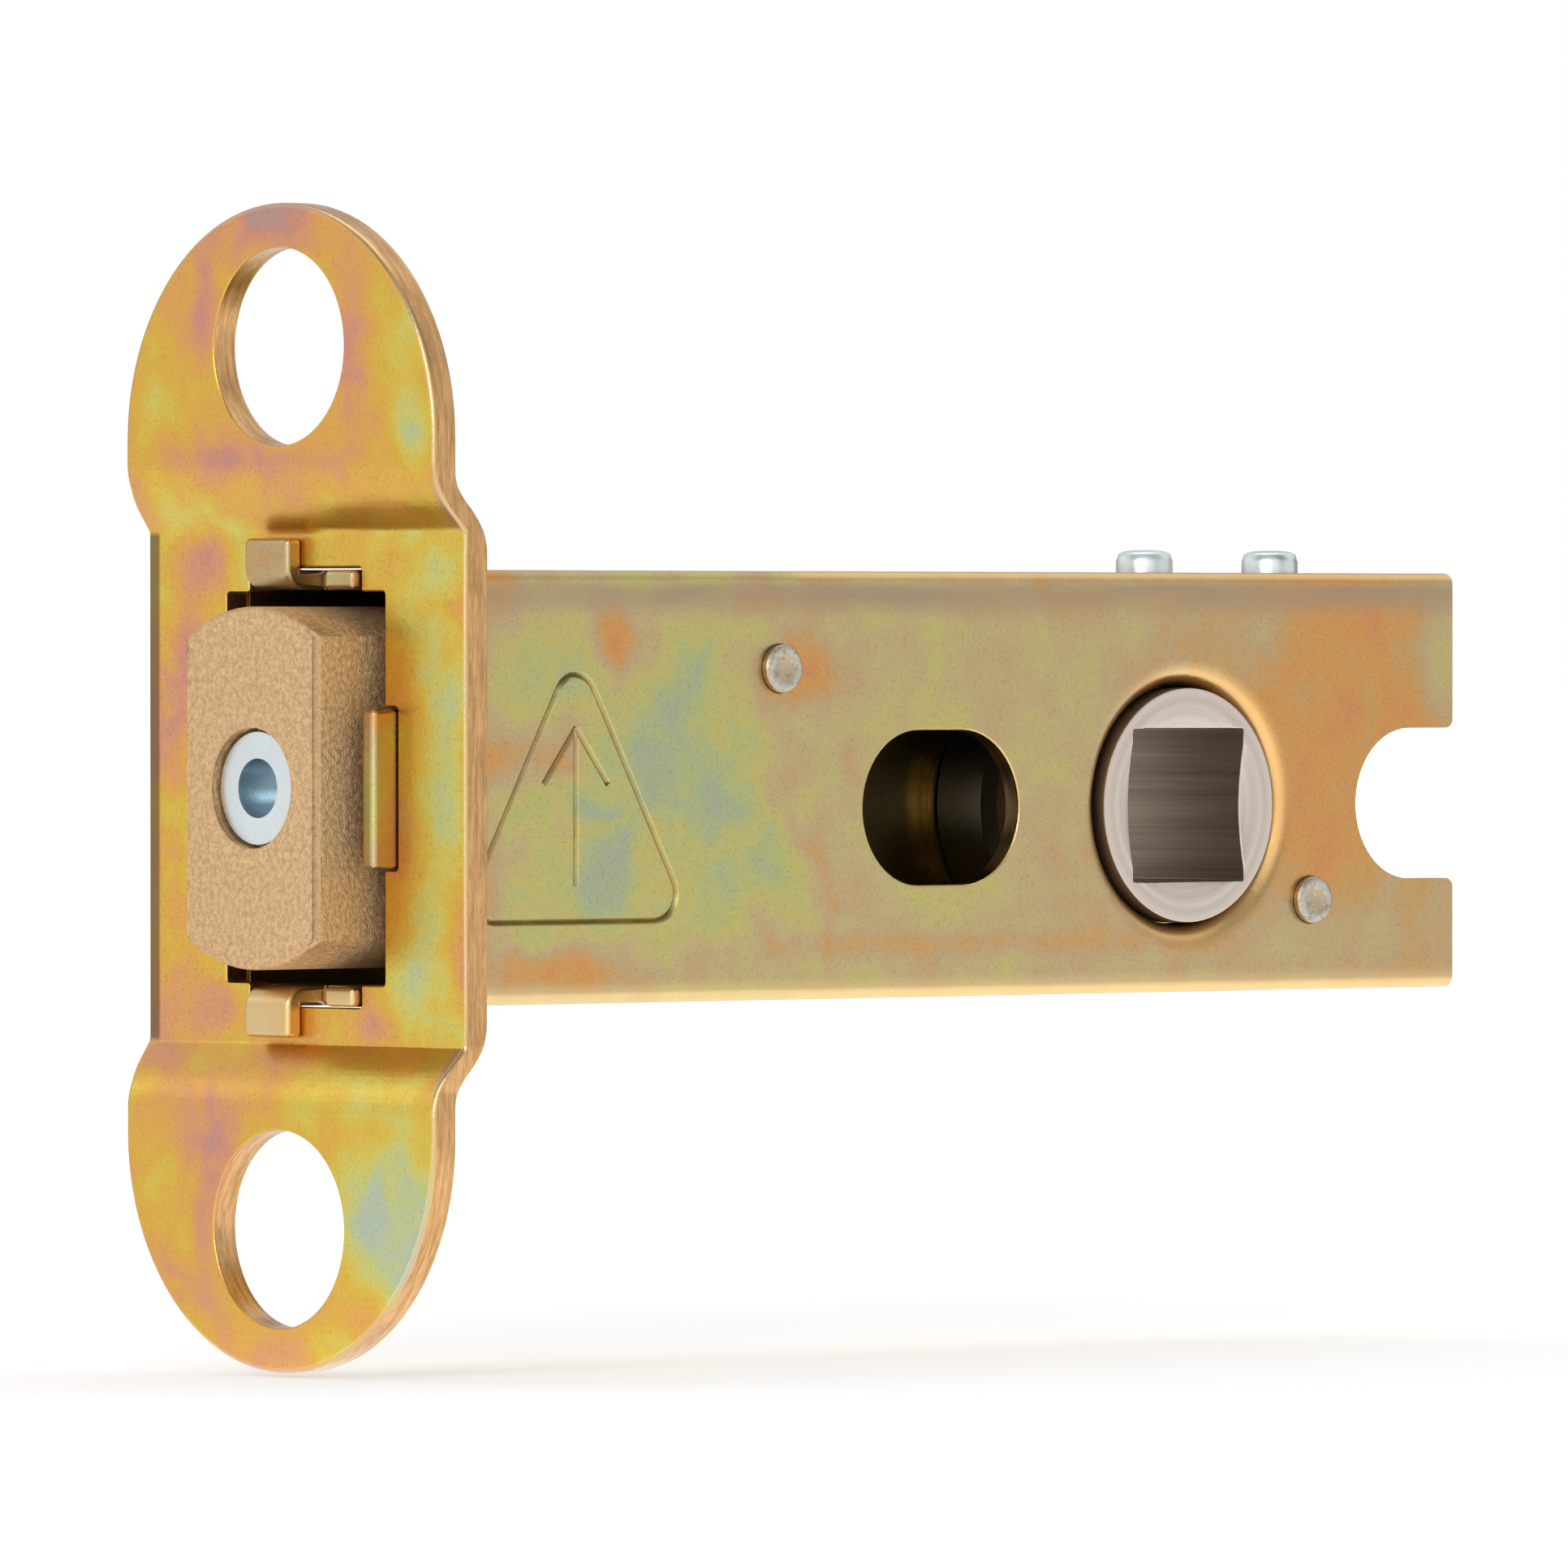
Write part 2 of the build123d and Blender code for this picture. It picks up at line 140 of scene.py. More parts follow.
def fine_grain_group():
    takes = {"Vector": "Vector", "Stretch": "Vector", "Scale": "Float"}
    tree, given = new_group("fine_grain", takes, {"Height": "Float", "Speckle": "Float", "Cloud": "Float"})
    sockets = {0: given["Vector"], 1: given["Stretch"]}
    drawn = put(tree, "ShaderNodeVectorMath", sockets, operation="MULTIPLY").outputs[0]
    sockets = {"Vector": drawn, "Scale": given["Scale"], "Detail": 3.0, "Roughness": 0.6}
    coarse = put(tree, "ShaderNodeTexNoise", sockets)
    finer = reckon(tree, "MULTIPLY", given["Scale"], 3.7)
    fine = put(tree, "ShaderNodeTexNoise", {"Vector": drawn, "Scale": finer, "Detail": 1.0})
    wider = reckon(tree, "MULTIPLY", given["Scale"], 0.12)
    cloud = put(tree, "ShaderNodeTexNoise", {"Vector": given["Vector"], "Scale": wider, "Detail": 2.0})
    height = reckon(tree, "MULTIPLY_ADD", fine.outputs["Fac"], 0.5, coarse.outputs["Fac"])
    speckle = span(tree, fine.outputs["Fac"], 0.55, 0.72)
    put(tree, "NodeGroupOutput", {"Height": height, "Speckle": speckle, "Cloud": cloud.outputs["Fac"]})
    return tree


fine_grain = fine_grain_group()


def grain(tree, place, scale, stretch=(1.0, 1.0, 1.0)):
    sockets = {"Vector": place, "Stretch": stretch, "Scale": scale}
    return put(tree, "ShaderNodeGroup", sockets, node_tree=fine_grain).outputs


def turning_rings_group():
    takes = {"Vector": "Vector", "Scale": "Float", "Detail": "Float"}
    tree, given = new_group("turning_rings", takes, {"Radius": "Float", "Ring": "Float"})
    radius = put(tree, "ShaderNodeVectorMath", {0: given["Vector"]}, operation="LENGTH").outputs["Value"]
    sockets = {"W": radius, "Scale": given["Scale"], "Detail": given["Detail"]}
    ring = put(tree, "ShaderNodeTexNoise", sockets, noise_dimensions="1D").outputs["Fac"]
    put(tree, "NodeGroupOutput", {"Radius": radius, "Ring": ring})
    return tree


turning_rings = turning_rings_group()


def turned_about(tree, across, scale, detail):
    sockets = {"Vector": across, "Scale": scale, "Detail": detail}
    return put(tree, "ShaderNodeGroup", sockets, node_tree=turning_rings).outputs


def relief(tree, shader, height, depth, strength):
    sockets = {"Height": height, "Distance": depth, "Strength": strength}
    tree.links.new(put(tree, "ShaderNodeBump", sockets).outputs["Normal"], shader.inputs["Normal"])


def sintered_steel():
    material, tree, shader, place = new_finish("sintered_steel")
    sockets = {0: place, 1: SPINDLE * MM}
    centred = put(tree, "ShaderNodeVectorMath", sockets, operation="SUBTRACT").outputs[0]
    axes = put(tree, "ShaderNodeSeparateXYZ", {0: centred}).outputs
    across = put(tree, "ShaderNodeCombineXYZ", {"X": axes["X"], "Z": axes["Z"]}).outputs[0]
    turned = turned_about(tree, across, 2600.0, 4.0)
    depth = reckon(tree, "ABSOLUTE", axes["Y"])
    journal = span(tree, depth, (JOURNAL_ROOT - 0.1) * MM, JOURNAL_ROOT * MM)
    faced = reckon(tree, "MULTIPLY", span(tree, facing(tree, "Y"), 0.55, 0.85), journal)
    bored = span(tree, turned["Radius"], FOLLOWER_BORE * MM, (FOLLOWER_BORE - 0.1) * MM)
    rings = span(tree, turned["Ring"], 0.3, 0.7)
    broached = grain(tree, place, 1500.0, (0.3, 0.02, 1.0))
    pressed = grain(tree, place, 3200.0)
    face = blend(tree, rings, colour(190, 177, 167), colour(200, 188, 178))
    face = blend(tree, reckon(tree, "MULTIPLY", pressed["Speckle"], 0.25), face, colour(158, 146, 136))
    # Painted shade: the broached hole's walls are coloured far darker than the faces, standing in for the
    # shade inside the hole.
    hole_in_painted_shade = blend(tree, broached["Height"], colour(84, 70, 58), colour(150, 134, 118))
    sides = blend(tree, journal, colour(92, 86, 80), colour(150, 138, 126))
    sides = blend(tree, reckon(tree, "MULTIPLY", pressed["Speckle"], 0.4), sides, colour(118, 110, 102))
    tree.links.new(blend(tree, faced, blend(tree, bored, sides, hole_in_painted_shade), face), shader.inputs["Base Color"])
    tree.links.new(span(tree, faced, 0.0, 1.0, 0.42, 0.36), shader.inputs["Roughness"])
    shader.inputs["Metallic"].default_value = 1.0
    marks = reckon(tree, "ADD", reckon(tree, "MULTIPLY", rings, faced), pressed["Height"])
    relief(tree, shader, reckon(tree, "ADD", marks, broached["Height"]), 0.01 * MM, 0.4)
    return material


def welded_copy(node, name):
    shape = bmesh.new()
    shape.from_mesh(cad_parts[node].data)
    bmesh.ops.scale(shape, vec=(1 / MM, 1 / MM, 1 / MM), verts=shape.verts)
    bmesh.ops.remove_doubles(shape, verts=shape.verts, dist=WELD_GAP)
    bmesh.ops.dissolve_limit(shape, angle_limit=FLAT_ANGLE, verts=shape.verts, edges=shape.edges)
    mesh = bpy.data.meshes.new(name)
    shape.to_mesh(mesh)
    shape.free()
    for layer in ("custom_normal", "UVMap"):
        if layer in mesh.attributes:
            mesh.attributes.remove(mesh.attributes[layer])
    piece = bpy.data.objects.new(name, mesh)
    scene.collection.objects.link(piece)
    return piece


def settle(piece):
    shaped = piece.evaluated_get(bpy.context.evaluated_depsgraph_get())
    mesh = bpy.data.meshes.new_from_object(shaped)
    piece.modifiers.clear()
    rough = piece.data
    piece.data = mesh
    bpy.data.meshes.remove(rough)
    mesh.name = piece.name


def ease_edges(piece, width, weight=None, steps=2, steepest=STEEPEST, clamp=True):
    shape = bmesh.new()
    shape.from_mesh(piece.data)
    layer = shape.edges.layers.float.new("bevel_weight_edge")
    for edge in shape.edges:
        sharp = len(edge.link_faces) == 2 and edge.calc_face_angle() > radians(steepest)
        edge[layer] = (weight(edge) if weight else 1.0) if sharp else 0.0
    shape.to_mesh(piece.data)
    shape.free()
    bevel = piece.modifiers.new("eased", "BEVEL")
    bevel.limit_method = "WEIGHT"
    bevel.width = width
    bevel.segments = steps
    bevel.use_clamp_overlap = clamp
    bevel.miter_outer = "MITER_ARC"
    settle(piece)


def hand_over(piece, body, slot, material, *nodes, crease=CREASE):
    mesh = piece.data
    mesh.shade_smooth()
    mesh.set_sharp_from_angle(angle=radians(crease))
    level = piece.modifiers.new("level", "WEIGHTED_NORMAL")
    level.keep_sharp = True
    settle(piece)
    piece.data.transform(Matrix.Scale(MM, 4))
    piece.data.materials.clear()
    piece.data.materials.append(material)
    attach(piece, body)
    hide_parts(*nodes)


def cut_away(piece, tool):
    cut = piece.modifiers.new("cut", "BOOLEAN")
    cut.object = tool
    cut.operation = "DIFFERENCE"
    cut.solver = "EXACT"
    cut.use_self = True
    settle(piece)
    bpy.data.objects.remove(tool)
    shape = bmesh.new()
    shape.from_mesh(piece.data)
    bmesh.ops.dissolve_degenerate(shape, edges=shape.edges, dist=SLIVER)
    shape.to_mesh(piece.data)
    shape.free()


def dish_tool():
    shape = bmesh.new()
    depth = DISH_RADIUS * DISH_SLOPE + DISH_OVERRUN
    for side in (-1, 1):
        centre = SPINDLE + Vector((0, side * (FOLLOWER_END + DISH_OVERRUN - depth / 2), 0))
        turn = Matrix.Translation(centre) @ Matrix.Rotation(radians(90 * side), 4, "X")
        sizes = {"radius1": depth / DISH_SLOPE, "radius2": 0, "depth": depth, "segments": 96}
        bmesh.ops.create_cone(shape, cap_ends=True, matrix=turn, **sizes)
    mesh = bpy.data.meshes.new("dish_tool")
    shape.to_mesh(mesh)
    shape.free()
    tool = bpy.data.objects.new("dish_tool", mesh)
    scene.collection.objects.link(tool)
    return tool


follower = welded_copy("follower", "follower_hub")
cut_away(follower, dish_tool())
ease_edges(follower, FOLLOWER_EASE)
hand_over(follower, "follower", "sintered_steel", sintered_steel(), "follower")


# Tail plate
# Blanked from cold-rolled steel strip, hung on the stem's pin and on the guide pin. The follower's nose
# works in its slot and drives it along the case. Its cut edges are a little brighter than its rolled faces.

PLATE_FACE = 1.15 * MM
PLATE_EASE = 0.1


def plate_steel():
    material, tree, shader, place = new_finish("plate_steel")
    rolled = grain(tree, place, 1800.0, (0.04, 1.0, 1.0))
    side = reckon(tree, "ABSOLUTE", put(tree, "ShaderNodeSeparateXYZ", {0: place}).outputs["Y"])
    cut = span(tree, side, PLATE_FACE, PLATE_FACE - 0.1 * MM)
    face = blend(tree, rolled["Cloud"], colour(118, 117, 114), colour(158, 156, 150))
    tree.links.new(blend(tree, cut, face, colour(172, 170, 166)), shader.inputs["Base Color"])
    tree.links.new(span(tree, rolled["Height"], 0.4, 1.1, 0.34, 0.5), shader.inputs["Roughness"])
    shader.inputs["Metallic"].default_value = 1.0
    relief(tree, shader, rolled["Height"], 0.02 * MM, 0.4)
    return material


tail_plate = welded_copy("tail_plate", "tail_plate_blank")
ease_edges(tail_plate, PLATE_EASE)
hand_over(tail_plate, "bolt", "plate_steel", plate_steel(), "tail_plate")


# Stem and its pin
# The stem is turned from bar and plated with bright zinc, and its hollow front end is riveted over in the
# bolt's face. A plain steel pin joins its fork to the tail plate.

STEM_FRONT = -1.35
STEM_HOLE = 1.55
STEM_EASE = 0.1
STEM_PIN_EASE = 0.15
PIN_END = 7.55


def bright_zinc():
    material, tree, shader, place = new_finish("bright_zinc")
    plated = grain(tree, place, 2400.0)
    axes = put(tree, "ShaderNodeSeparateXYZ", {0: place}).outputs
    across = put(tree, "ShaderNodeCombineXYZ", {"Y": axes["Y"], "Z": axes["Z"]}).outputs[0]
    radius = put(tree, "ShaderNodeVectorMath", {0: across}, operation="LENGTH").outputs["Value"]
    drilled = span(tree, radius, STEM_HOLE * MM, (STEM_HOLE - 0.04) * MM)
    behind = span(tree, axes["X"], STEM_FRONT * MM, (STEM_FRONT + 0.2) * MM)
    drilled_hole_painted_shade = reckon(tree, "MULTIPLY", drilled, behind)
    body = blend(tree, plated["Cloud"], colour(200, 207, 209), colour(218, 224, 226))
    body = blend(tree, reckon(tree, "MULTIPLY", plated["Speckle"], 0.5), body, colour(182, 190, 194))
    # Painted shade: the drilled hole's wall is coloured a darker blue-grey than the plating, standing in
    # for the shade inside the hole.
    tree.links.new(blend(tree, drilled_hole_painted_shade, body, colour(174, 190, 198)), shader.inputs["Base Color"])
    tree.links.new(span(tree, plated["Cloud"], 0.3, 0.7, 0.26, 0.42), shader.inputs["Roughness"])
    shader.inputs["Metallic"].default_value = 1.0
    relief(tree, shader, plated["Height"], 0.02 * MM, 0.35)
    return material


def pin_steel():
    material, tree, shader, place = new_finish("pin_steel")
    hammered = grain(tree, place, 1500.0)
    depth = reckon(tree, "ABSOLUTE", put(tree, "ShaderNodeSeparateXYZ", {0: place}).outputs["Y"])
    rim = span(tree, depth, (PIN_END - 0.12) * MM, (PIN_END - 0.03) * MM)
    body = blend(tree, rim, colour(174, 158, 132), colour(178, 178, 172))
    pitted = blend(tree, span(tree, hammered["Height"], 0.72, 0.55, 0.0, 0.6), body, colour(128, 120, 106))
    fleck = reckon(tree, "MULTIPLY", hammered["Speckle"], 0.4)
    tree.links.new(blend(tree, fleck, pitted, colour(214, 210, 196)), shader.inputs["Base Color"])
    tree.links.new(span(tree, hammered["Height"], 0.4, 1.1, 0.34, 0.46), shader.inputs["Roughness"])
    shader.inputs["Metallic"].default_value = 1.0
    relief(tree, shader, hammered["Height"], 0.02 * MM, 0.4)
    return material


zinc = bright_zinc()
steel_pin = pin_steel()
stem = welded_copy("bolt_stem", "stem_turned")
ease_edges(stem, STEM_EASE)
hand_over(stem, "bolt", "bright_zinc", zinc, "bolt_stem")
stem_pin = welded_copy("stem_pin", "stem_pin_turned")
ease_edges(stem_pin, STEM_PIN_EASE)
hand_over(stem_pin, "bolt", "pin_steel", steel_pin, "stem_pin")


# Bolt head
# A length of round brass-bronze bar with two flats, parted off and tumbled, so that its face keeps faint
# turning rings and its edges are soft. It is bored for the stem.

BOLT_FACE = -1.8
BOLT_HALF_WIDTH = 5.0
BOLT_RADIUS = 9.15
BOLT_CHAMFER = 0.5
BOLT_EDGE = 0.16
BOLT_SOFT_EDGE = 0.3
BOLT_EASE = 0.07
BOLT_STEEPEST = 25
STEM_RECESS = 4.0
TOUCH = 0.05
SIDEWAYS = (0.0, 1.0, 0.0)


# Edge band for painted light: faces whose normal turns part way from an axis, as on rounded edges. The
# bolt, case and forend colour it as painted shade or painted highlight.
def painted_edge_light_group():
    tree, given = new_group("painted_edge_light", {"Normal": "Vector", "Axis": "Vector"}, {"Edge": "Float"})
    sockets = {0: given["Normal"], 1: given["Axis"]}
    along = put(tree, "ShaderNodeVectorMath", sockets, operation="DOT_PRODUCT").outputs["Value"]
    tilt = reckon(tree, "ABSOLUTE", along)
    edge = reckon(tree, "MULTIPLY", span(tree, tilt, 0.3, 0.5), span(tree, tilt, 0.985, 0.85))
    put(tree, "NodeGroupOutput", {"Edge": edge})
    return tree


painted_edge_light = painted_edge_light_group()


def painted_edge_band(tree, axis):
    sockets = {"Normal": put(tree, "ShaderNodeTexCoord").outputs["Normal"], "Axis": axis}
    return put(tree, "ShaderNodeGroup", sockets, node_tree=painted_edge_light).outputs["Edge"]


def tumbled_bronze():
    material, tree, shader, place = new_finish("tumbled_bronze")
    tumbled = grain(tree, place, 3400.0)
    axes = put(tree, "ShaderNodeSeparateXYZ", {0: place}).outputs
    across = put(tree, "ShaderNodeCombineXYZ", {"Y": axes["Y"], "Z": axes["Z"]}).outputs[0]
    faced = span(tree, axes["X"], (BOLT_FACE + 0.15) * MM, (BOLT_FACE + 0.1) * MM)
    rings = reckon(tree, "MULTIPLY", turned_about(tree, across, 1500.0, 3.0)["Ring"], faced)
    coarse = span(tree, tumbled["Height"], 0.5, 1.0)
    body = blend(tree, coarse, colour(187, 155, 115), colour(225, 195, 153))
    lit = blend(tree, reckon(tree, "MULTIPLY", tumbled["Speckle"], 0.4), body, colour(228, 202, 164))
    worn = reckon(tree, "MULTIPLY", rings, 0.3)
    face = blend(tree, worn, lit, colour(178, 138, 94))
    # Painted shade: a band along the bolt's front edges is darkened brown to hold down the highlight that
    # the eased edge catches.
    ahead = span(tree, axes["X"], 0.0, -1.0 * MM, 0.0, 0.3)
    edge = reckon(tree, "MULTIPLY", painted_edge_band(tree, SIDEWAYS), ahead)
    tree.links.new(blend(tree, edge, face, colour(132, 102, 70)), shader.inputs["Base Color"])
    tree.links.new(span(tree, tumbled["Height"], 0.4, 1.1, 0.58, 0.76), shader.inputs["Roughness"])
    shader.inputs["Metallic"].default_value = 1.0
    relief(tree, shader, reckon(tree, "MULTIPLY_ADD", rings, 0.7, tumbled["Height"]), 0.1 * MM, 1.0)
    return material


def tumbled_front(piece):
    for vert in piece.data.vertices:
        along, side, height = vert.co
        out = (side ** 2 + height ** 2) ** 0.5
        if out > STEM_RECESS and along < BOLT_FACE + TOUCH:
            corner = abs(side) > BOLT_HALF_WIDTH - BOLT_CHAMFER - TOUCH
            stretch = (BOLT_RADIUS - BOLT_EDGE) / out
            beside = BOLT_HALF_WIDTH - BOLT_EDGE if side > 0 else BOLT_SOFT_EDGE - BOLT_HALF_WIDTH
            vert.co.y = beside if corner else side * stretch
            rise = ((BOLT_RADIUS - BOLT_EDGE) ** 2 - vert.co.y ** 2) ** 0.5
            vert.co.z = rise if height > 0 else -rise
        elif out > STEM_RECESS and along < BOLT_FACE + 2 * BOLT_CHAMFER:
            on_flat = side < TOUCH - BOLT_HALF_WIDTH
            vert.co.x = BOLT_FACE + (BOLT_SOFT_EDGE if on_flat else BOLT_EDGE)


bolt = welded_copy("bolt_head", "bolt_bar")
tumbled_front(bolt)
ease_edges(bolt, BOLT_EASE, steepest=BOLT_STEEPEST)
hand_over(bolt, "bolt", "bolt_bronze", tumbled_bronze(), "bolt_head")


# Detent spring and its rivets
# A hairpin leaf of blued spring steel hangs under the roof on two zinc-plated rivets, whose round heads
# stand on the roof. The leaf's lower leg presses on a flat of the follower at each end of the turn.

SPRING_EASE = 0.08
RIVET_HEAD = 3.0 * MM
RIVET_HEIGHT = 1.2 * MM
RIVET_SHANK = 1.8 * MM
RIVET_TAIL = 2.6 * MM
RIVET_TAIL_HEIGHT = 0.6 * MM
RIVET_PITCH = 9.2 * MM
RIVET_CROWN = 0.62 * MM
CROWN_POWER = 3.2
ROOF_TOP = 11.0 * MM


def spring_steel():
    material, tree, shader, place = new_finish("spring_steel")
    drawn = grain(tree, place, 1600.0, (0.05, 1.0, 1.0))
    blued = blend(tree, drawn["Cloud"], colour(74, 78, 88), colour(118, 120, 126))
    tree.links.new(blued, shader.inputs["Base Color"])
    tree.links.new(span(tree, drawn["Height"], 0.4, 1.1, 0.28, 0.4), shader.inputs["Roughness"])
    shader.inputs["Metallic"].default_value = 1.0
    relief(tree, shader, drawn["Height"], 0.015 * MM, 0.4)
    return material


def new_tree(name, **kinds):
    tree = bpy.data.node_groups.new(name, "GeometryNodeTree")
    names = {}
    for label, kind in kinds.items():
        title = label.replace("_", " ").title()
        socket = tree.interface.new_socket(title, in_out="INPUT", socket_type=kind)
        names[label] = socket.identifier
    tree.interface.new_socket("Geometry", in_out="OUTPUT", socket_type="NodeSocketGeometry")
    return tree, put(tree, "NodeGroupInput").outputs, names


def grow(name, tree, names, **sizes):
    piece = bpy.data.objects.new(name, bpy.data.meshes.new(name))
    scene.collection.objects.link(piece)
    modifier = piece.modifiers.new(name, "NODES")
    modifier.node_group = tree
    for label, value in sizes.items():
        modifier[names[label]] = value
    settle(piece)
    return piece


def barrel(tree, radius, height, lift, rings=1):
    sockets = {"Vertices": 40, "Fill Segments": rings, "Radius": radius, "Depth": height}
    body = put(tree, "GeometryNodeMeshCylinder", sockets, fill_type="TRIANGLE_FAN")
    rise = put(tree, "ShaderNodeCombineXYZ", {"Z": lift}).outputs[0]
    sockets = {"Geometry": body.outputs["Mesh"], "Translation": rise}
    return put(tree, "GeometryNodeTransform", sockets).outputs[0]


def off_axis(tree, radius):
    position = put(tree, "GeometryNodeInputPosition").outputs[0]
    axes = put(tree, "ShaderNodeSeparateXYZ", {0: position}).outputs
    flat = put(tree, "ShaderNodeCombineXYZ", {"X": axes["X"], "Y": axes["Y"]}).outputs[0]
    length = put(tree, "ShaderNodeVectorMath", {0: flat}, operation="LENGTH").outputs["Value"]
    return reckon(tree, "DIVIDE", length, radius), axes["Z"]


def in_a_row(tree, given, shape):
    sockets = {"Count": given["Count"], "Start Location": given["Start"], "Offset": given["Pitch"]}
    places = put(tree, "GeometryNodeMeshLine", sockets).outputs[0]
    return put(tree, "GeometryNodeInstanceOnPoints", {"Points": places, "Instance": shape}).outputs[0]


def end_tree(tree, given, shape):
    solid = put(tree, "GeometryNodeRealizeInstances", {"Geometry": shape}).outputs[0]
    done = put(tree, "GeometryNodeSetMaterial", {"Geometry": solid, "Material": given["Finish"]}).outputs[0]
    put(tree, "NodeGroupOutput", {"Geometry": done})


def rivet_row_tree():
    tree, given, names = new_tree(
        "rivet_row",
        radius="NodeSocketFloat",
        height="NodeSocketFloat",
        crown="NodeSocketFloat",
        shank="NodeSocketFloat",
        grip="NodeSocketFloat",
        tail="NodeSocketFloat",
        tail_height="NodeSocketFloat",
        start="NodeSocketVector",
        pitch="NodeSocketVector",
        count="NodeSocketInt",
        finish="NodeSocketMaterial",
    )
    half = reckon(tree, "MULTIPLY", given["Height"], 0.5)
    head = barrel(tree, given["Radius"], given["Height"], half, rings=12)
    share, level = off_axis(tree, given["Radius"])
    left = reckon(tree, "SUBTRACT", 1.0, reckon(tree, "POWER", share, CROWN_POWER))
    edge = reckon(tree, "POWER", reckon(tree, "MAXIMUM", left, 0.0), 1 / CROWN_POWER)
    fall = reckon(tree, "MULTIPLY", reckon(tree, "SUBTRACT", edge, 1.0), given["Crown"])
    drop = put(tree, "ShaderNodeCombineXYZ", {"Z": fall}).outputs[0]
    on_top = put(tree, "FunctionNodeCompare", {0: level, 1: half}, operation="GREATER_THAN")
    sockets = {"Geometry": head, "Selection": on_top.outputs[0], "Offset": drop}
    crowned = put(tree, "GeometryNodeSetPosition", sockets).outputs[0]
    shank = barrel(tree, given["Shank"], given["Grip"], reckon(tree, "MULTIPLY", given["Grip"], -0.5))
    under = reckon(tree, "MULTIPLY_ADD", given["Tail Height"], 0.5, given["Grip"])
    tail = barrel(tree, given["Tail"], given["Tail Height"], reckon(tree, "MULTIPLY", under, -1.0))
    rivet = tree.nodes.new("GeometryNodeJoinGeometry")
    for part in (tail, shank, crowned):
        tree.links.new(part, rivet.inputs[0])
    end_tree(tree, given, in_a_row(tree, given, rivet.outputs[0]))
    return tree, names


def fix(piece, body, slot, *nodes):
    piece.data.shade_smooth()
    piece.data.set_sharp_from_angle(angle=radians(CREASE))
    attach(piece, body)
    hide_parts(*nodes)


spring = welded_copy("detent_spring", "spring_leaf")
ease_edges(spring, SPRING_EASE)
hand_over(spring, "case", "spring_steel", spring_steel(), "detent_spring")

rivet_low, rivet_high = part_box("spring_rivets")
rivet_tree, rivet_names = rivet_row_tree()
rivets = grow(
    "roof_rivets",
    rivet_tree,
    rivet_names,
    radius=RIVET_HEAD / 2,
    height=RIVET_HEIGHT,
    crown=RIVET_CROWN,
    shank=RIVET_SHANK / 2,
    grip=ROOF_TOP - rivet_low.z - RIVET_TAIL_HEIGHT,
    tail=RIVET_TAIL / 2,
    tail_height=RIVET_TAIL_HEIGHT,
    start=(rivet_low.x + RIVET_HEAD / 2, (rivet_low.y + rivet_high.y) / 2, ROOF_TOP),
    pitch=(RIVET_PITCH, 0.0, 0.0),
    count=2,
    finish=zinc,
)
fix(rivets, "case", "bright_zinc", "spring_rivets")


# Case halves
# Two half shells pressed from 1 mm steel sheet, zinc plated and yellow passivated to a film whose colour
# drifts. The near half carries a plain orientation mark, a triangle and an arrow, cut as a fine groove.

CASE_SIDE = -7.0
CASE_EASE = 0.12
NEAR_CREASE = 26
MARK_CENTRE = (13.9, -2.15)
MARK_HALF_WIDTH = 7.8
MARK_HEIGHT = 14.0
MARK_CORNER = 1.4
MARK_LINE = 0.2
MARK_DEPTH = 0.18
MARK_END = 26.0
MARK_TOP = 8.0
ARROW_FOOT = -5.0
ARROW_TIP = 3.0
ARROW_BARB = 2.2
TAB_ROOT = 3.3
TAB_ROUND = 0.28
SLOT_ROUND = 0.16
SLOT_RANGE = (32.0, 47.0)
SLOT_REACH = 6.5
WALL_FLAT = 9.8
WALL_FOOT = -9.7
REAR_START = 28.0
REAR_SETTLED = 44.0


def passivation_film_group():
    takes = {"Vector": "Vector", "Thickness": "Float", "Spread": "Float", "Patch": "Float", "Seed": "Float"}
    gives = {"Film": "Float", "Roughness": "Float", "Height": "Float"}
    tree, given = new_group("passivation_film", takes, gives)

    def cloud(factor, detail, swirl):
        size = reckon(tree, "MULTIPLY", given["Patch"], factor)
        sockets = {"Vector": given["Vector"], "W": given["Seed"], "Scale": size}
        sockets.update({"Detail": detail, "Distortion": swirl})
        return put(tree, "ShaderNodeTexNoise", sockets, noise_dimensions="4D").outputs["Fac"]

    middle = cloud(2.4, 1.5, 0.8)
    small = cloud(9.0, 2.0, 0.0)
    drift = reckon(tree, "ADD", cloud(1.0, 1.0, 0.4), middle)
    drift = reckon(tree, "SUBTRACT", reckon(tree, "MULTIPLY_ADD", small, 0.25, drift), 1.125)
    film = reckon(tree, "MULTIPLY_ADD", drift, given["Spread"], given["Thickness"])
    rough = span(tree, middle, 0.3, 0.7, 0.26, 0.36)
    put(tree, "NodeGroupOutput", {"Film": film, "Roughness": rough, "Height": small})
    return tree


passivation_film = passivation_film_group()


def film_patch_group():
    takes = {"Vector": "Vector", "Centre": "Vector", "Reach": "Vector", "Amount": "Float"}
    tree, given = new_group("film_patch", takes, {"Film": "Float"})
    sockets = {"Vector": given["Vector"], "Location": given["Centre"], "Scale": given["Reach"]}
    near = put(tree, "ShaderNodeMapping", sockets, vector_type="TEXTURE").outputs[0]
    distance = put(tree, "ShaderNodeVectorMath", {0: near}, operation="LENGTH").outputs["Value"]
    put(tree, "NodeGroupOutput", {"Film": span(tree, distance, 0.0, 1.0, given["Amount"], 0.0)})
    return tree


film_patch = film_patch_group()


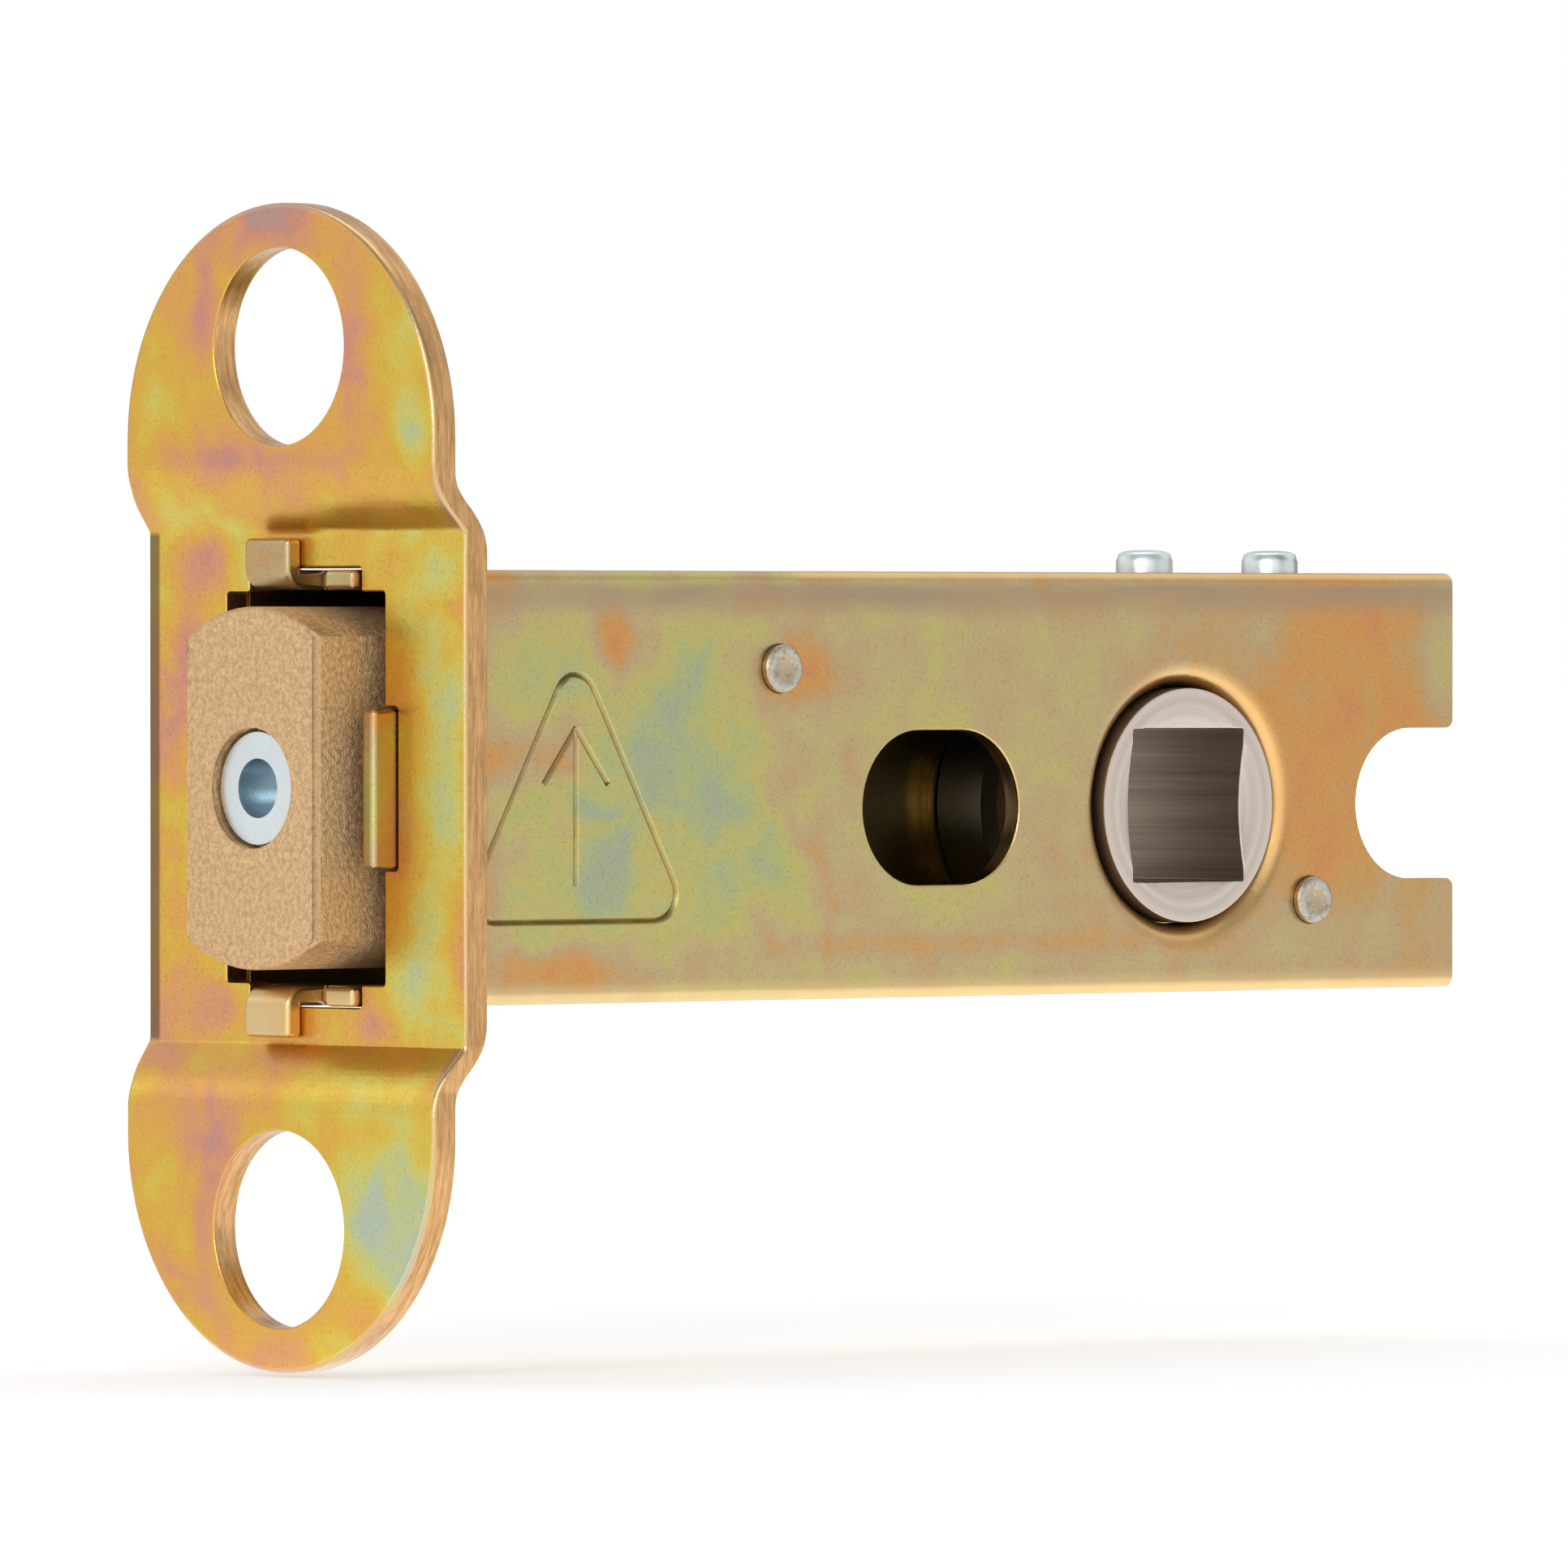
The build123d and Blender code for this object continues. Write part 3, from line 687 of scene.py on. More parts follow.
def passivated(
    name, stops, thickness, spread, patch_size, seed, patches, through, cut_shades, sheared, layers
):
    material, tree, shader, place = new_finish(name)
    depth = thickness
    for centre, reach, amount in patches:
        sockets = {"Vector": place, "Amount": amount}
        sockets.update({"Centre": Vector(centre) * MM, "Reach": Vector(reach) * MM})
        patch = put(tree, "ShaderNodeGroup", sockets, node_tree=film_patch).outputs["Film"]
        depth = reckon(tree, "ADD", patch, depth)
    width = spread(tree, place) if callable(spread) else spread
    drifting = {"Vector": place, "Thickness": depth, "Spread": width, "Seed": seed}
    drifting["Patch"] = 1 / (patch_size * MM)
    film = put(tree, "ShaderNodeGroup", drifting, node_tree=passivation_film).outputs
    ramp = put(tree, "ShaderNodeValToRGB", {"Fac": film["Film"]})
    points = ramp.color_ramp.elements
    while len(points) < len(stops):
        points.new(0.5)
    for point, (position, shade) in zip(points, stops):
        point.position = position
        point.color = colour(*shade)
    sheet = grain(tree, place, 4600.0)
    glint = reckon(tree, "MULTIPLY", sheet["Speckle"], 0.2)
    lit = blend(tree, glint, ramp.outputs["Color"], colour(236, 224, 190))
    face = blend(tree, span(tree, sheet["Height"], 0.75, 0.5, 0.0, 0.25), lit, colour(120, 98, 66))
    for mask, shade in layers:
        face = blend(tree, mask(tree, place), face, colour(*shade))
    drawn = grain(tree, place, 4200.0, through)
    edge = blend(tree, span(tree, drawn["Height"], 0.4, 1.1), *[colour(*shade) for shade in cut_shades])
    tree.links.new(blend(tree, sheared(tree, place), face, edge), shader.inputs["Base Color"])
    tree.links.new(film["Roughness"], shader.inputs["Roughness"])
    shader.inputs["Metallic"].default_value = 1.0
    relief(tree, shader, reckon(tree, "MULTIPLY_ADD", film["Height"], 1.5, sheet["Height"]), 0.02 * MM, 0.4)
    return material


def orientation_mark_tree():
    tree, given, names = new_tree(
        "orientation_mark",
        half_width="NodeSocketFloat",
        height="NodeSocketFloat",
        corner="NodeSocketFloat",
        line="NodeSocketFloat",
        depth="NodeSocketFloat",
        foot="NodeSocketFloat",
        tip="NodeSocketFloat",
        barb="NodeSocketFloat",
        place="NodeSocketVector",
        finish="NodeSocketMaterial",
    )
    ring = put(tree, "GeometryNodeCurvePrimitiveCircle", {"Resolution": 3, "Radius": 1.0}).outputs["Curve"]
    wide = reckon(tree, "DIVIDE", given["Half Width"], 0.75 ** 0.5)
    tall = reckon(tree, "DIVIDE", given["Height"], 1.5)
    sockets = {"Geometry": ring, "Rotation": (0, 0, radians(90))}
    turned = put(tree, "GeometryNodeTransform", sockets).outputs[0]
    size = put(tree, "ShaderNodeCombineXYZ", {"X": wide, "Y": tall, "Z": 1.0}).outputs[0]
    outline = put(tree, "GeometryNodeTransform", {"Geometry": turned, "Scale": size}).outputs[0]
    sockets = {"Curve": outline, "Count": 8, "Radius": given["Corner"], "Limit Radius": True}
    rounded = put(tree, "GeometryNodeFilletCurve", sockets, mode="POLY").outputs[0]
    tip = put(tree, "ShaderNodeCombineXYZ", {"Y": given["Tip"]}).outputs[0]
    foot = put(tree, "ShaderNodeCombineXYZ", {"Y": given["Foot"]}).outputs[0]
    strokes = tree.nodes.new("GeometryNodeJoinGeometry")
    tree.links.new(rounded, strokes.inputs[0])
    shaft = put(tree, "GeometryNodeCurvePrimitiveLine", {"Start": foot, "End": tip}).outputs[0]
    tree.links.new(shaft, strokes.inputs[0])
    for side in (-1.0, 1.0):
        reach = reckon(tree, "MULTIPLY", given["Barb"], side)
        low = reckon(tree, "MULTIPLY_ADD", given["Barb"], -1.3, given["Tip"])
        end = put(tree, "ShaderNodeCombineXYZ", {"X": reach, "Y": low}).outputs[0]
        stroke = put(tree, "GeometryNodeCurvePrimitiveLine", {"Start": tip, "End": end}).outputs[0]
        tree.links.new(stroke, strokes.inputs[0])
    level = put(tree, "GeometryNodeSetCurveNormal", {"Curve": strokes.outputs[0]}, mode="Z_UP").outputs[0]
    sockets = {"Resolution": 4, "Radius": 1.0}
    square = put(tree, "GeometryNodeCurvePrimitiveCircle", sockets).outputs["Curve"]
    size = put(tree, "ShaderNodeCombineXYZ", {"X": given["Line"], "Y": given["Depth"], "Z": 1.0}).outputs[0]
    wedge = put(tree, "GeometryNodeTransform", {"Geometry": square, "Scale": size}).outputs[0]
    sockets = {"Curve": level, "Profile Curve": wedge, "Fill Caps": True}
    swept = put(tree, "GeometryNodeCurveToMesh", sockets).outputs[0]
    sockets = {"Geometry": swept, "Translation": given["Place"], "Rotation": (radians(90), 0, 0)}
    stood = put(tree, "GeometryNodeTransform", sockets).outputs[0]
    end_tree(tree, given, stood)
    return tree, names


# Cut-edge colour on the ends, the walls of the slot and bore, and the mark's groove. It is partly the
# sheared edges' own colour and partly painted shade, darkened to stand in for the shade inside the slot and
# the groove.
def wall_cut_and_painted_shade(tree, place):
    axes = put(tree, "ShaderNodeSeparateXYZ", {0: place}).outputs
    height = reckon(tree, "ABSOLUTE", axes["Z"])
    within = span(tree, height, (WALL_FLAT + 0.1) * MM, WALL_FLAT * MM)
    pierced = reckon(tree, "MULTIPLY", span(tree, facing(tree, "Y"), 0.4, 0.2), within)
    ends = reckon(tree, "MAXIMUM", pierced, span(tree, facing(tree, "X"), 0.6, 0.9))
    below = span(tree, axes["Y"], (CASE_SIDE + 0.01) * MM, (CASE_SIDE + 0.1) * MM, 0.0, 0.6)
    shallow = span(tree, axes["Y"], (CASE_SIDE + 0.4) * MM, (CASE_SIDE + 0.3) * MM)
    before = span(tree, axes["X"], (MARK_END + 1.0) * MM, MARK_END * MM)
    marked = reckon(tree, "MULTIPLY", before, span(tree, height, (MARK_TOP + 0.2) * MM, MARK_TOP * MM))
    groove = reckon(tree, "MULTIPLY", reckon(tree, "MULTIPLY", below, shallow), marked)
    cut = reckon(tree, "MAXIMUM", ends, groove)
    return reckon(tree, "MULTIPLY", cut, span(tree, axes["X"], 4.0 * MM, 5.0 * MM))


def wall_spread(tree, place):
    along = put(tree, "ShaderNodeSeparateXYZ", {0: place}).outputs["X"]
    return span(tree, along, REAR_START * MM, REAR_SETTLED * MM, 0.8, 0.45)


# Painted highlight: a golden band on edges that turn away from the wall, such as the collar lip, behind the
# mark.
def wall_painted_highlight(tree, place):
    axes = put(tree, "ShaderNodeSeparateXYZ", {0: place}).outputs
    behind = span(tree, axes["X"], REAR_START * MM, (REAR_START + 2.0) * MM, 0.0, 0.6)
    return reckon(tree, "MULTIPLY", painted_edge_band(tree, SIDEWAYS), behind)


# Painted shade: a streaked, darker band along the top of the wall, just below the bend.
def wall_painted_shade(tree, place):
    axes = put(tree, "ShaderNodeSeparateXYZ", {0: place}).outputs
    streaks = span(tree, grain(tree, place, 260.0, (0.15, 1.0, 1.0))["Height"], 0.5, 0.95, 0.4, 1.0)
    band = reckon(tree, "MULTIPLY", span(tree, axes["Z"], (WALL_FLAT - 1.4) * MM, WALL_FLAT * MM), streaks)
    bend = span(tree, axes["Z"], (WALL_FLAT + 0.75) * MM, (WALL_FLAT + 0.35) * MM)
    below_bend = reckon(tree, "MULTIPLY", band, bend)
    return reckon(tree, "MULTIPLY", below_bend, span(tree, facing(tree, "Y"), 0.6, 0.9))


# Painted reflection: the wall's bottom bend is coloured pale cream, standing in for the pale table that it
# faces.
def wall_foot_painted_reflection(tree, place):
    axes = put(tree, "ShaderNodeSeparateXYZ", {0: place}).outputs
    return span(tree, axes["Z"], WALL_FOOT * MM, (WALL_FOOT - 1.1) * MM, 0.0, 0.5)


case_shades = (
    (0.00, (158, 160, 137)),
    (0.10, (154, 162, 135)),
    (0.18, (156, 166, 129)),
    (0.28, (166, 170, 114)),
    (0.40, (179, 170, 102)),
    (0.50, (179, 162, 114)),
    (0.60, (178, 153, 114)),
    (0.70, (185, 147, 95)),
    (0.82, (195, 141, 81)),
    (0.92, (193, 133, 87)),
    (1.00, (189, 133, 100)),
)
case_patches = (
    ((1.6, 0.0, 0.0), (4.5, 14, 18.0), 0.34),
    ((0.8, -6.5, 0.0), (3.0, 1.2, 5.0), -0.4),
    ((6.0, -7, 0.0), (6.0, 9, 16.0), 0.16),
    ((18.0, -7, 1.0), (18.0, 6, 13.0), -0.17),
    ((10.0, -7, 6.8), (5.0, 3, 3.4), -0.14),
    ((12.5, -7, 1.8), (4.6, 3, 3.8), 0.34),
    ((16.4, -7, 7.2), (2.4, 3, 3.4), 0.4),
    ((28.8, -7, 6.2), (3.8, 3, 3.4), 0.4),
    ((40.0, -7, 9.6), (36.0, 3, 1.8), 0.12),
    ((70.0, -7, 3.0), (24.0, 10, 26.0), 0.36),
    ((75.8, -7, 6.0), (2.6, 3, 7.0), -0.26),
    ((42.0, -7, -8.2), (34.0, 2, 1.1), 0.15),
    ((14.0, -7, -9.3), (12.0, 2, 1.8), 0.34),
    ((8.0, -7, 1.6), (4.0, 2, 2.6), 0.2),
    ((66.0, -7, -8.0), (10.0, 3, 3.0), -0.1),
)
passivated_case = passivated(
    "passivated_case",
    case_shades,
    thickness=0.5,
    spread=wall_spread,
    patch_size=9.0,
    seed=3.0,
    patches=case_patches,
    through=(0.1, 1.0, 0.1),
    # These dark cut-edge colours are partly painted shade inside the slot and the groove.
    cut_shades=((104, 80, 50), (164, 132, 88)),
    sheared=wall_cut_and_painted_shade,
    # Layers of painted light: painted shade under the top bend, a painted reflection of the table on the
    # bottom bend and a painted highlight on edges.
    layers=(
        (wall_painted_shade, (158, 138, 114)),
        (wall_foot_painted_reflection, (232, 200, 142)),
        (wall_painted_highlight, (232, 192, 128)),
    ),
)

mark_tree, mark_names = orientation_mark_tree()
mark_tool = grow(
    "mark_tool",
    mark_tree,
    mark_names,
    half_width=MARK_HALF_WIDTH,
    height=MARK_HEIGHT,
    corner=MARK_CORNER,
    line=MARK_LINE,
    depth=MARK_DEPTH,
    foot=ARROW_FOOT - MARK_CENTRE[1],
    tip=ARROW_TIP - MARK_CENTRE[1],
    barb=ARROW_BARB,
    place=(MARK_CENTRE[0], CASE_SIDE, MARK_CENTRE[1]),
    finish=passivated_case,
)


def round_over(piece, width, chosen, steps=4):
    shape = bmesh.new()
    shape.from_mesh(piece.data)
    edges = [edge for edge in shape.edges if chosen(edge)]
    rounding = {"offset": width, "segments": steps, "profile": 0.5, "clamp_overlap": False}
    bmesh.ops.bevel(shape, geom=edges, affect="EDGES", **rounding)
    bmesh.ops.remove_doubles(shape, verts=shape.verts, dist=WELD_GAP)
    shape.to_mesh(piece.data)
    shape.free()


def on_tab(edge):
    ahead = [vert.co.x for vert in edge.verts]
    within = min(ahead) < TAB_ROOT - 2 * TOUCH and max(ahead) < TAB_ROOT + TOUCH
    return within and edge.calc_face_angle() > radians(STEEPEST)


def on_slot(edge):
    ends = [vert.co for vert in edge.verts]
    low, high = SLOT_RANGE
    within = all(low < end.x < high and abs(end.z) < SLOT_REACH for end in ends)
    rim = all(abs(end.y) > -CASE_SIDE - 0.01 for end in ends)
    return within and rim and edge.calc_face_angle() > radians(STEEPEST)


def off_tab(edge):
    return 0.0 if any(vert.co.x < TAB_ROOT - 2 * TOUCH for vert in edge.verts) else 1.0


near_half = welded_copy("case_near_half", "near_shell")
round_over(near_half, TAB_ROUND, on_tab)
round_over(near_half, SLOT_ROUND, on_slot, steps=3)
ease_edges(near_half, CASE_EASE, weight=off_tab)
cut_away(near_half, mark_tool)
hand_over(near_half, "case", "passivated_case", passivated_case, "case_near_half", crease=NEAR_CREASE)
far_half = welded_copy("case_far_half", "far_shell")
round_over(far_half, TAB_ROUND, on_tab)
round_over(far_half, SLOT_ROUND, on_slot, steps=3)
ease_edges(far_half, CASE_EASE, weight=off_tab)
hand_over(far_half, "case", "passivated_case", passivated_case, "case_far_half")


# Cross pins
# Two plain steel pins through both walls of the case, riveted at each end by a blow that leaves the middle
# dished and the rim rounded. They tie the halves together, and the upper one guides the tail plate.

PIN_ROUND = 0.22 * MM
PIN_DISH = 0.2 * MM
ROUND_POWER = 9.0
DISH_POWER = 2.0


def cross_pin_tree():
    tree, given, names = new_tree(
        "cross_pins",
        radius="NodeSocketFloat",
        length="NodeSocketFloat",
        rounding="NodeSocketFloat",
        dish="NodeSocketFloat",
        start="NodeSocketVector",
        pitch="NodeSocketVector",
        count="NodeSocketInt",
        finish="NodeSocketMaterial",
    )
    body = barrel(tree, given["Radius"], given["Length"], 0.0, rings=14)
    share, level = off_axis(tree, given["Radius"])
    rim = reckon(tree, "MULTIPLY", reckon(tree, "POWER", share, ROUND_POWER), given["Rounding"])
    left = reckon(tree, "SUBTRACT", 1.0, reckon(tree, "POWER", share, DISH_POWER))
    middle = reckon(tree, "POWER", reckon(tree, "MAXIMUM", left, 0.0), DISH_POWER)
    hollow = reckon(tree, "MULTIPLY", middle, given["Dish"])
    sunk = reckon(tree, "MULTIPLY", reckon(tree, "ADD", rim, hollow), reckon(tree, "SIGN", level))
    inward = put(tree, "ShaderNodeCombineXYZ", {"Z": reckon(tree, "MULTIPLY", sunk, -1.0)}).outputs[0]
    struck = put(tree, "GeometryNodeSetPosition", {"Geometry": body, "Offset": inward}).outputs[0]
    sockets = {"Geometry": struck, "Rotation": (radians(90), 0, 0)}
    laid = put(tree, "GeometryNodeTransform", sockets).outputs[0]
    end_tree(tree, given, in_a_row(tree, given, laid))
    return tree, names


guide_low, guide_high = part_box("guide_pin")
tie_low, tie_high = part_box("tie_pin")
pin_tree, pin_names = cross_pin_tree()
cross_pins = grow(
    "cross_pins",
    pin_tree,
    pin_names,
    radius=(guide_high.x - guide_low.x) / 2,
    length=guide_high.y - guide_low.y,
    rounding=PIN_ROUND,
    dish=PIN_DISH,
    start=(guide_low + guide_high) / 2,
    pitch=(tie_low + tie_high - guide_low - guide_high) / 2,
    count=2,
    finish=steel_pin,
)
fix(cross_pins, "case", "pin_steel", "guide_pin", "tie_pin")


# Inner forend
# Blanked and joggled from 1.5 mm steel plate, its front rim barrelled soft, then plated and passivated.
# The case's tabs hold it, two of them bent over its front. Two screws through its ears hold the lock.

PLATE = 1.5
RECESS = 1.8
EAR_BEND = 15.1
PANEL_BEND = 12.95
EAR_FRONT_ROUND = 1.27
EAR_REAR_ROUND = 0.8
PANEL_FRONT_ROUND = 0.05
PANEL_REAR_ROUND = 1.25
BEND_CUTS = 24
BEND_STEP = 0.2083
BEND_SNAP = 0.005
FOREND_SIDE = 11.0
FOREND_END = 29.0
FOREND_NOTCH = 11.08
EAR_HOLE = 22.25
HOLE_REACH = 5.3
FOREND_EASE = 0.28
FOREND_CREASE = 35
RIM_SIDE = 11.3
EAR_ROOT = 16.5
LENGTHWISE = (1.0, 0.0, 0.0)


def bent(height, corner, reach):
    along = corner - abs(height)
    slope = RECESS / (EAR_BEND - PANEL_BEND)
    if abs(along) < reach:
        return slope * (along + reach) ** 2 / (4 * reach)
    return slope * max(along, 0.0)


def front_of(height):
    return bent(height, EAR_BEND, EAR_FRONT_ROUND) - bent(height, PANEL_BEND, PANEL_FRONT_ROUND)


def rear_of(height):
    return PLATE + bent(height, EAR_BEND, EAR_REAR_ROUND) - bent(height, PANEL_BEND, PANEL_REAR_ROUND)


def flatten(piece):
    shape = bmesh.new()
    shape.from_mesh(piece.data)
    for vert in shape.verts:
        vert.co.x = 0.0 if vert.co.x - front_of(vert.co.z) < PLATE / 2 else PLATE
    bmesh.ops.dissolve_limit(shape, angle_limit=FLAT_ANGLE, verts=shape.verts, edges=shape.edges)
    shape.to_mesh(piece.data)
    shape.free()


def joggle(piece):
    shape = bmesh.new()
    shape.from_mesh(piece.data)
    for step in range(BEND_CUTS):
        for side in (-1, 1):
            height = side * (PANEL_BEND - PANEL_REAR_ROUND + BEND_STEP * step)
            level = {"plane_co": (0, 0, height), "plane_no": (0, 0, 1)}
            parts = shape.verts[:] + shape.edges[:] + shape.faces[:]
            bmesh.ops.bisect_plane(shape, geom=parts, dist=BEND_SNAP, **level)
    for vert in shape.verts:
        front, rear = front_of(vert.co.z), rear_of(vert.co.z)
        vert.co.x = front + (rear - front) * vert.co.x / PLATE
    shape.to_mesh(piece.data)
    shape.free()


def front_rim(edge):
    ends = [vert.co for vert in edge.verts]
    front = all(end.x < PLATE / 2 for end in ends)
    outside = all(max(abs(end.y) / FOREND_SIDE, abs(end.z) / FOREND_END) > 0.8 for end in ends)
    holed = all(end.y ** 2 + (abs(end.z) - EAR_HOLE) ** 2 < HOLE_REACH ** 2 for end in ends)
    notched = all(abs(abs(end.z) - FOREND_NOTCH) < 0.1 for end in ends)
    pierced = abs(ends[0].x - ends[1].x) > 1 and all(abs(end.z) < FOREND_NOTCH + 0.1 for end in ends)
    if front and not holed and (outside or notched):
        return 1.0 if outside else 0.7
    return 0.6 if pierced else 0.4


def plate_cut(tree, place):
    return span(tree, facing(tree, "X"), 0.4, 0.2)


# Painted highlight: a pale line along the rounded front rim and the ears' outer rim, away from the screw
# holes.
def plate_painted_highlight(tree, place):
    axes = put(tree, "ShaderNodeSeparateXYZ", {0: place}).outputs
    height = reckon(tree, "ABSOLUTE", axes["Z"])
    side = span(tree, reckon(tree, "MULTIPLY", axes["Y"], -1.0), RIM_SIDE * MM, (RIM_SIDE + 0.3) * MM)
    rim = reckon(tree, "MAXIMUM", side, span(tree, height, EAR_ROOT * MM, (EAR_ROOT + 0.5) * MM))
    above = reckon(tree, "SUBTRACT", height, EAR_HOLE * MM)
    across = put(tree, "ShaderNodeCombineXYZ", {"Y": axes["Y"], "Z": above}).outputs[0]
    away = put(tree, "ShaderNodeVectorMath", {0: across}, operation="LENGTH").outputs["Value"]
    outer = reckon(tree, "MULTIPLY", rim, span(tree, away, 6.0 * MM, 6.5 * MM, 0.0, 0.8))
    return reckon(tree, "MULTIPLY", painted_edge_band(tree, LENGTHWISE), outer)


# Painted shade: a dark strip down the panel's rolled-over side edge, standing in for the dark that the
# curved edge reflects.
def plate_roll_painted_shade(tree, place):
    axes = put(tree, "ShaderNodeSeparateXYZ", {0: place}).outputs
    drawn = span(tree, axes["Y"], (RIM_SIDE - 0.1) * MM, (RIM_SIDE + 0.15) * MM, 0.0, 0.75)
    height = reckon(tree, "ABSOLUTE", axes["Z"])
    panel = span(tree, height, (PANEL_BEND + 0.15) * MM, (PANEL_BEND - 0.25) * MM)
    return reckon(tree, "MULTIPLY", drawn, panel)


forend_shades = (
    (0.00, (172, 184, 160)),
    (0.12, (184, 190, 126)),
    (0.24, (200, 190, 98)),
    (0.36, (208, 180, 72)),
    (0.48, (210, 168, 66)),
    (0.58, (212, 160, 76)),
    (0.68, (210, 152, 90)),
    (0.80, (206, 144, 108)),
    (0.90, (198, 136, 116)),
    (1.00, (178, 140, 130)),
)
forend_patches = (
    ((0, 1.0, 29.0), (4, 7.0, 4.2), 0.36),
    ((0, -5.4, 23.0), (4, 2.8, 6.8), 0.3),
    ((0, 5.8, 23.5), (4, 1.9, 3.6), 0.28),
    ((0, 9.8, 21.0), (4, 3.0, 6.5), -0.16),
    ((0, -9.2, 22.5), (4, 2.2, 5.0), -0.14),
    ((0, -10.4, 17.8), (4, 2.4, 3.2), -0.4),
    ((0, 2.0, 16.6), (4, 11.0, 1.2), 0.22),
    ((1.8, 9.0, 6.0), (4, 2.6, 6.0), 0.34),
    ((1.8, 10.8, -3.0), (4, 1.4, 6.0), -0.12),
    ((1.8, -10.2, -1.0), (4, 3.6, 13.0), -0.48),
    ((1.8, -10.6, 11.0), (4, 2.0, 2.4), -0.3),
    ((1.8, -6.8, 11.5), (4, 2.2, 2.4), 0.34),
    ((1.8, 8.0, 11.4), (4, 4.4, 2.8), 0.42),
    ((1.8, 7.0, -11.4), (4, 4.6, 2.2), 0.36),
    ((1.8, -8.6, -8.6), (4, 4.0, 6.5), -0.26),
    ((1.8, -5.5, -12.0), (4, 2.4, 1.6), 0.26),
    ((0, -9.0, -22.4), (4, 6.4, 11.0), -0.44),
    ((0, 6.0, -17.0), (4, 6.0, 3.0), 0.2),
    ((0, 0.0, -29.5), (4, 5.0, 3.0), 0.2),
)
passivated_forend = passivated(
    "passivated_forend",
    forend_shades,
    thickness=0.52,
    spread=0.85,
    patch_size=9.0,
    seed=11.0,
    patches=forend_patches,
    through=(1.0, 0.1, 0.1),
    cut_shades=((160, 120, 76), (214, 170, 118)),
    sheared=plate_cut,
    # Layers of painted light: a painted highlight on the rim and painted shade along the rolled-over side.
    layers=((plate_painted_highlight, (188, 162, 130)), (plate_roll_painted_shade, (92, 76, 58))),
)
forend = welded_copy("inner_forend", "forend_plate")
flatten(forend)
ease_edges(forend, FOREND_EASE, weight=front_rim, steps=3, clamp=False)
joggle(forend)
hand_over(forend, "case", "passivated_forend", passivated_forend, "inner_forend", crease=FOREND_CREASE)


# Floor, light and camera
# A pale table under the lowest ear, a room with a few bright walls, soft boxes at the left and overhead,
# and a long lens from the viewing point of the photograph, aimed at the middle of the lock.

TABLE_GAP = 0.0002
TABLE_RADIUS = 6.0
LOCK_MIDDLE = Vector((0.03, 0.0, 0.0))
ROOM_LEVEL = 0.36
VIEWPOINT = Vector((-0.533, -0.619, 0.0075))
AIM = Vector((0.0346, 0.0, 0.0))
LENS = 372.0


def pale_table():
    material = bpy.data.materials.new("pale_table")
    material.use_nodes = True
    tree = material.node_tree
    shader = tree.nodes["Principled BSDF"]
    shader.inputs["Base Color"].default_value = (0.85, 0.85, 0.85, 1.0)
    shader.inputs["Roughness"].default_value = 0.9
    place = put(tree, "ShaderNodeTexCoord").outputs["Object"]
    distance = put(tree, "ShaderNodeVectorMath", {0: place}, operation="LENGTH").outputs["Value"]
    ahead = span(tree, put(tree, "ShaderNodeSeparateXYZ", {0: place}).outputs["Y"], 0.03, 0.0)
    path = put(tree, "ShaderNodeLightPath").outputs
    # Painted light: near the lock, the table glows brighter for reflected rays only, so the lock's downward
    # faces mirror a brighter floor than the camera sees.
    near = reckon(tree, "MULTIPLY", span(tree, distance, 0.05, 0.3, 0.5, 0.0), ahead)
    glossy_glow_pool = reckon(tree, "MULTIPLY", path["Is Glossy Ray"], near)
    lifted = reckon(tree, "MULTIPLY_ADD", path["Is Camera Ray"], 0.08, 1.16)
    glow = put(tree, "ShaderNodeEmission", {"Strength": reckon(tree, "ADD", glossy_glow_pool, lifted)})
    mirrored = reckon(tree, "MAXIMUM", path["Is Glossy Ray"], path["Is Transmission Ray"])
    far_off = span(tree, distance, 0.06, 0.3, 0.36, 0.9)
    looked_at = reckon(tree, "MULTIPLY", path["Is Camera Ray"], far_off)
    share = reckon(tree, "MAXIMUM", reckon(tree, "MULTIPLY", mirrored, 0.8), looked_at)
    sockets = {0: share, 1: shader.outputs[0], 2: glow.outputs[0]}
    mixed = put(tree, "ShaderNodeMixShader", sockets)
    tree.links.new(mixed.outputs[0], tree.nodes["Material Output"].inputs["Surface"])
    return material


shape = bmesh.new()
bmesh.ops.create_circle(shape, cap_ends=True, segments=96, radius=TABLE_RADIUS)
bmesh.ops.translate(shape, vec=(0, 0, cad_low.z - TABLE_GAP), verts=shape.verts)
table_mesh = bpy.data.meshes.new("table")
shape.to_mesh(table_mesh)
shape.free()
table_mesh.materials.append(pale_table())
table = bpy.data.objects.new("table", table_mesh)
scene.collection.objects.link(table)

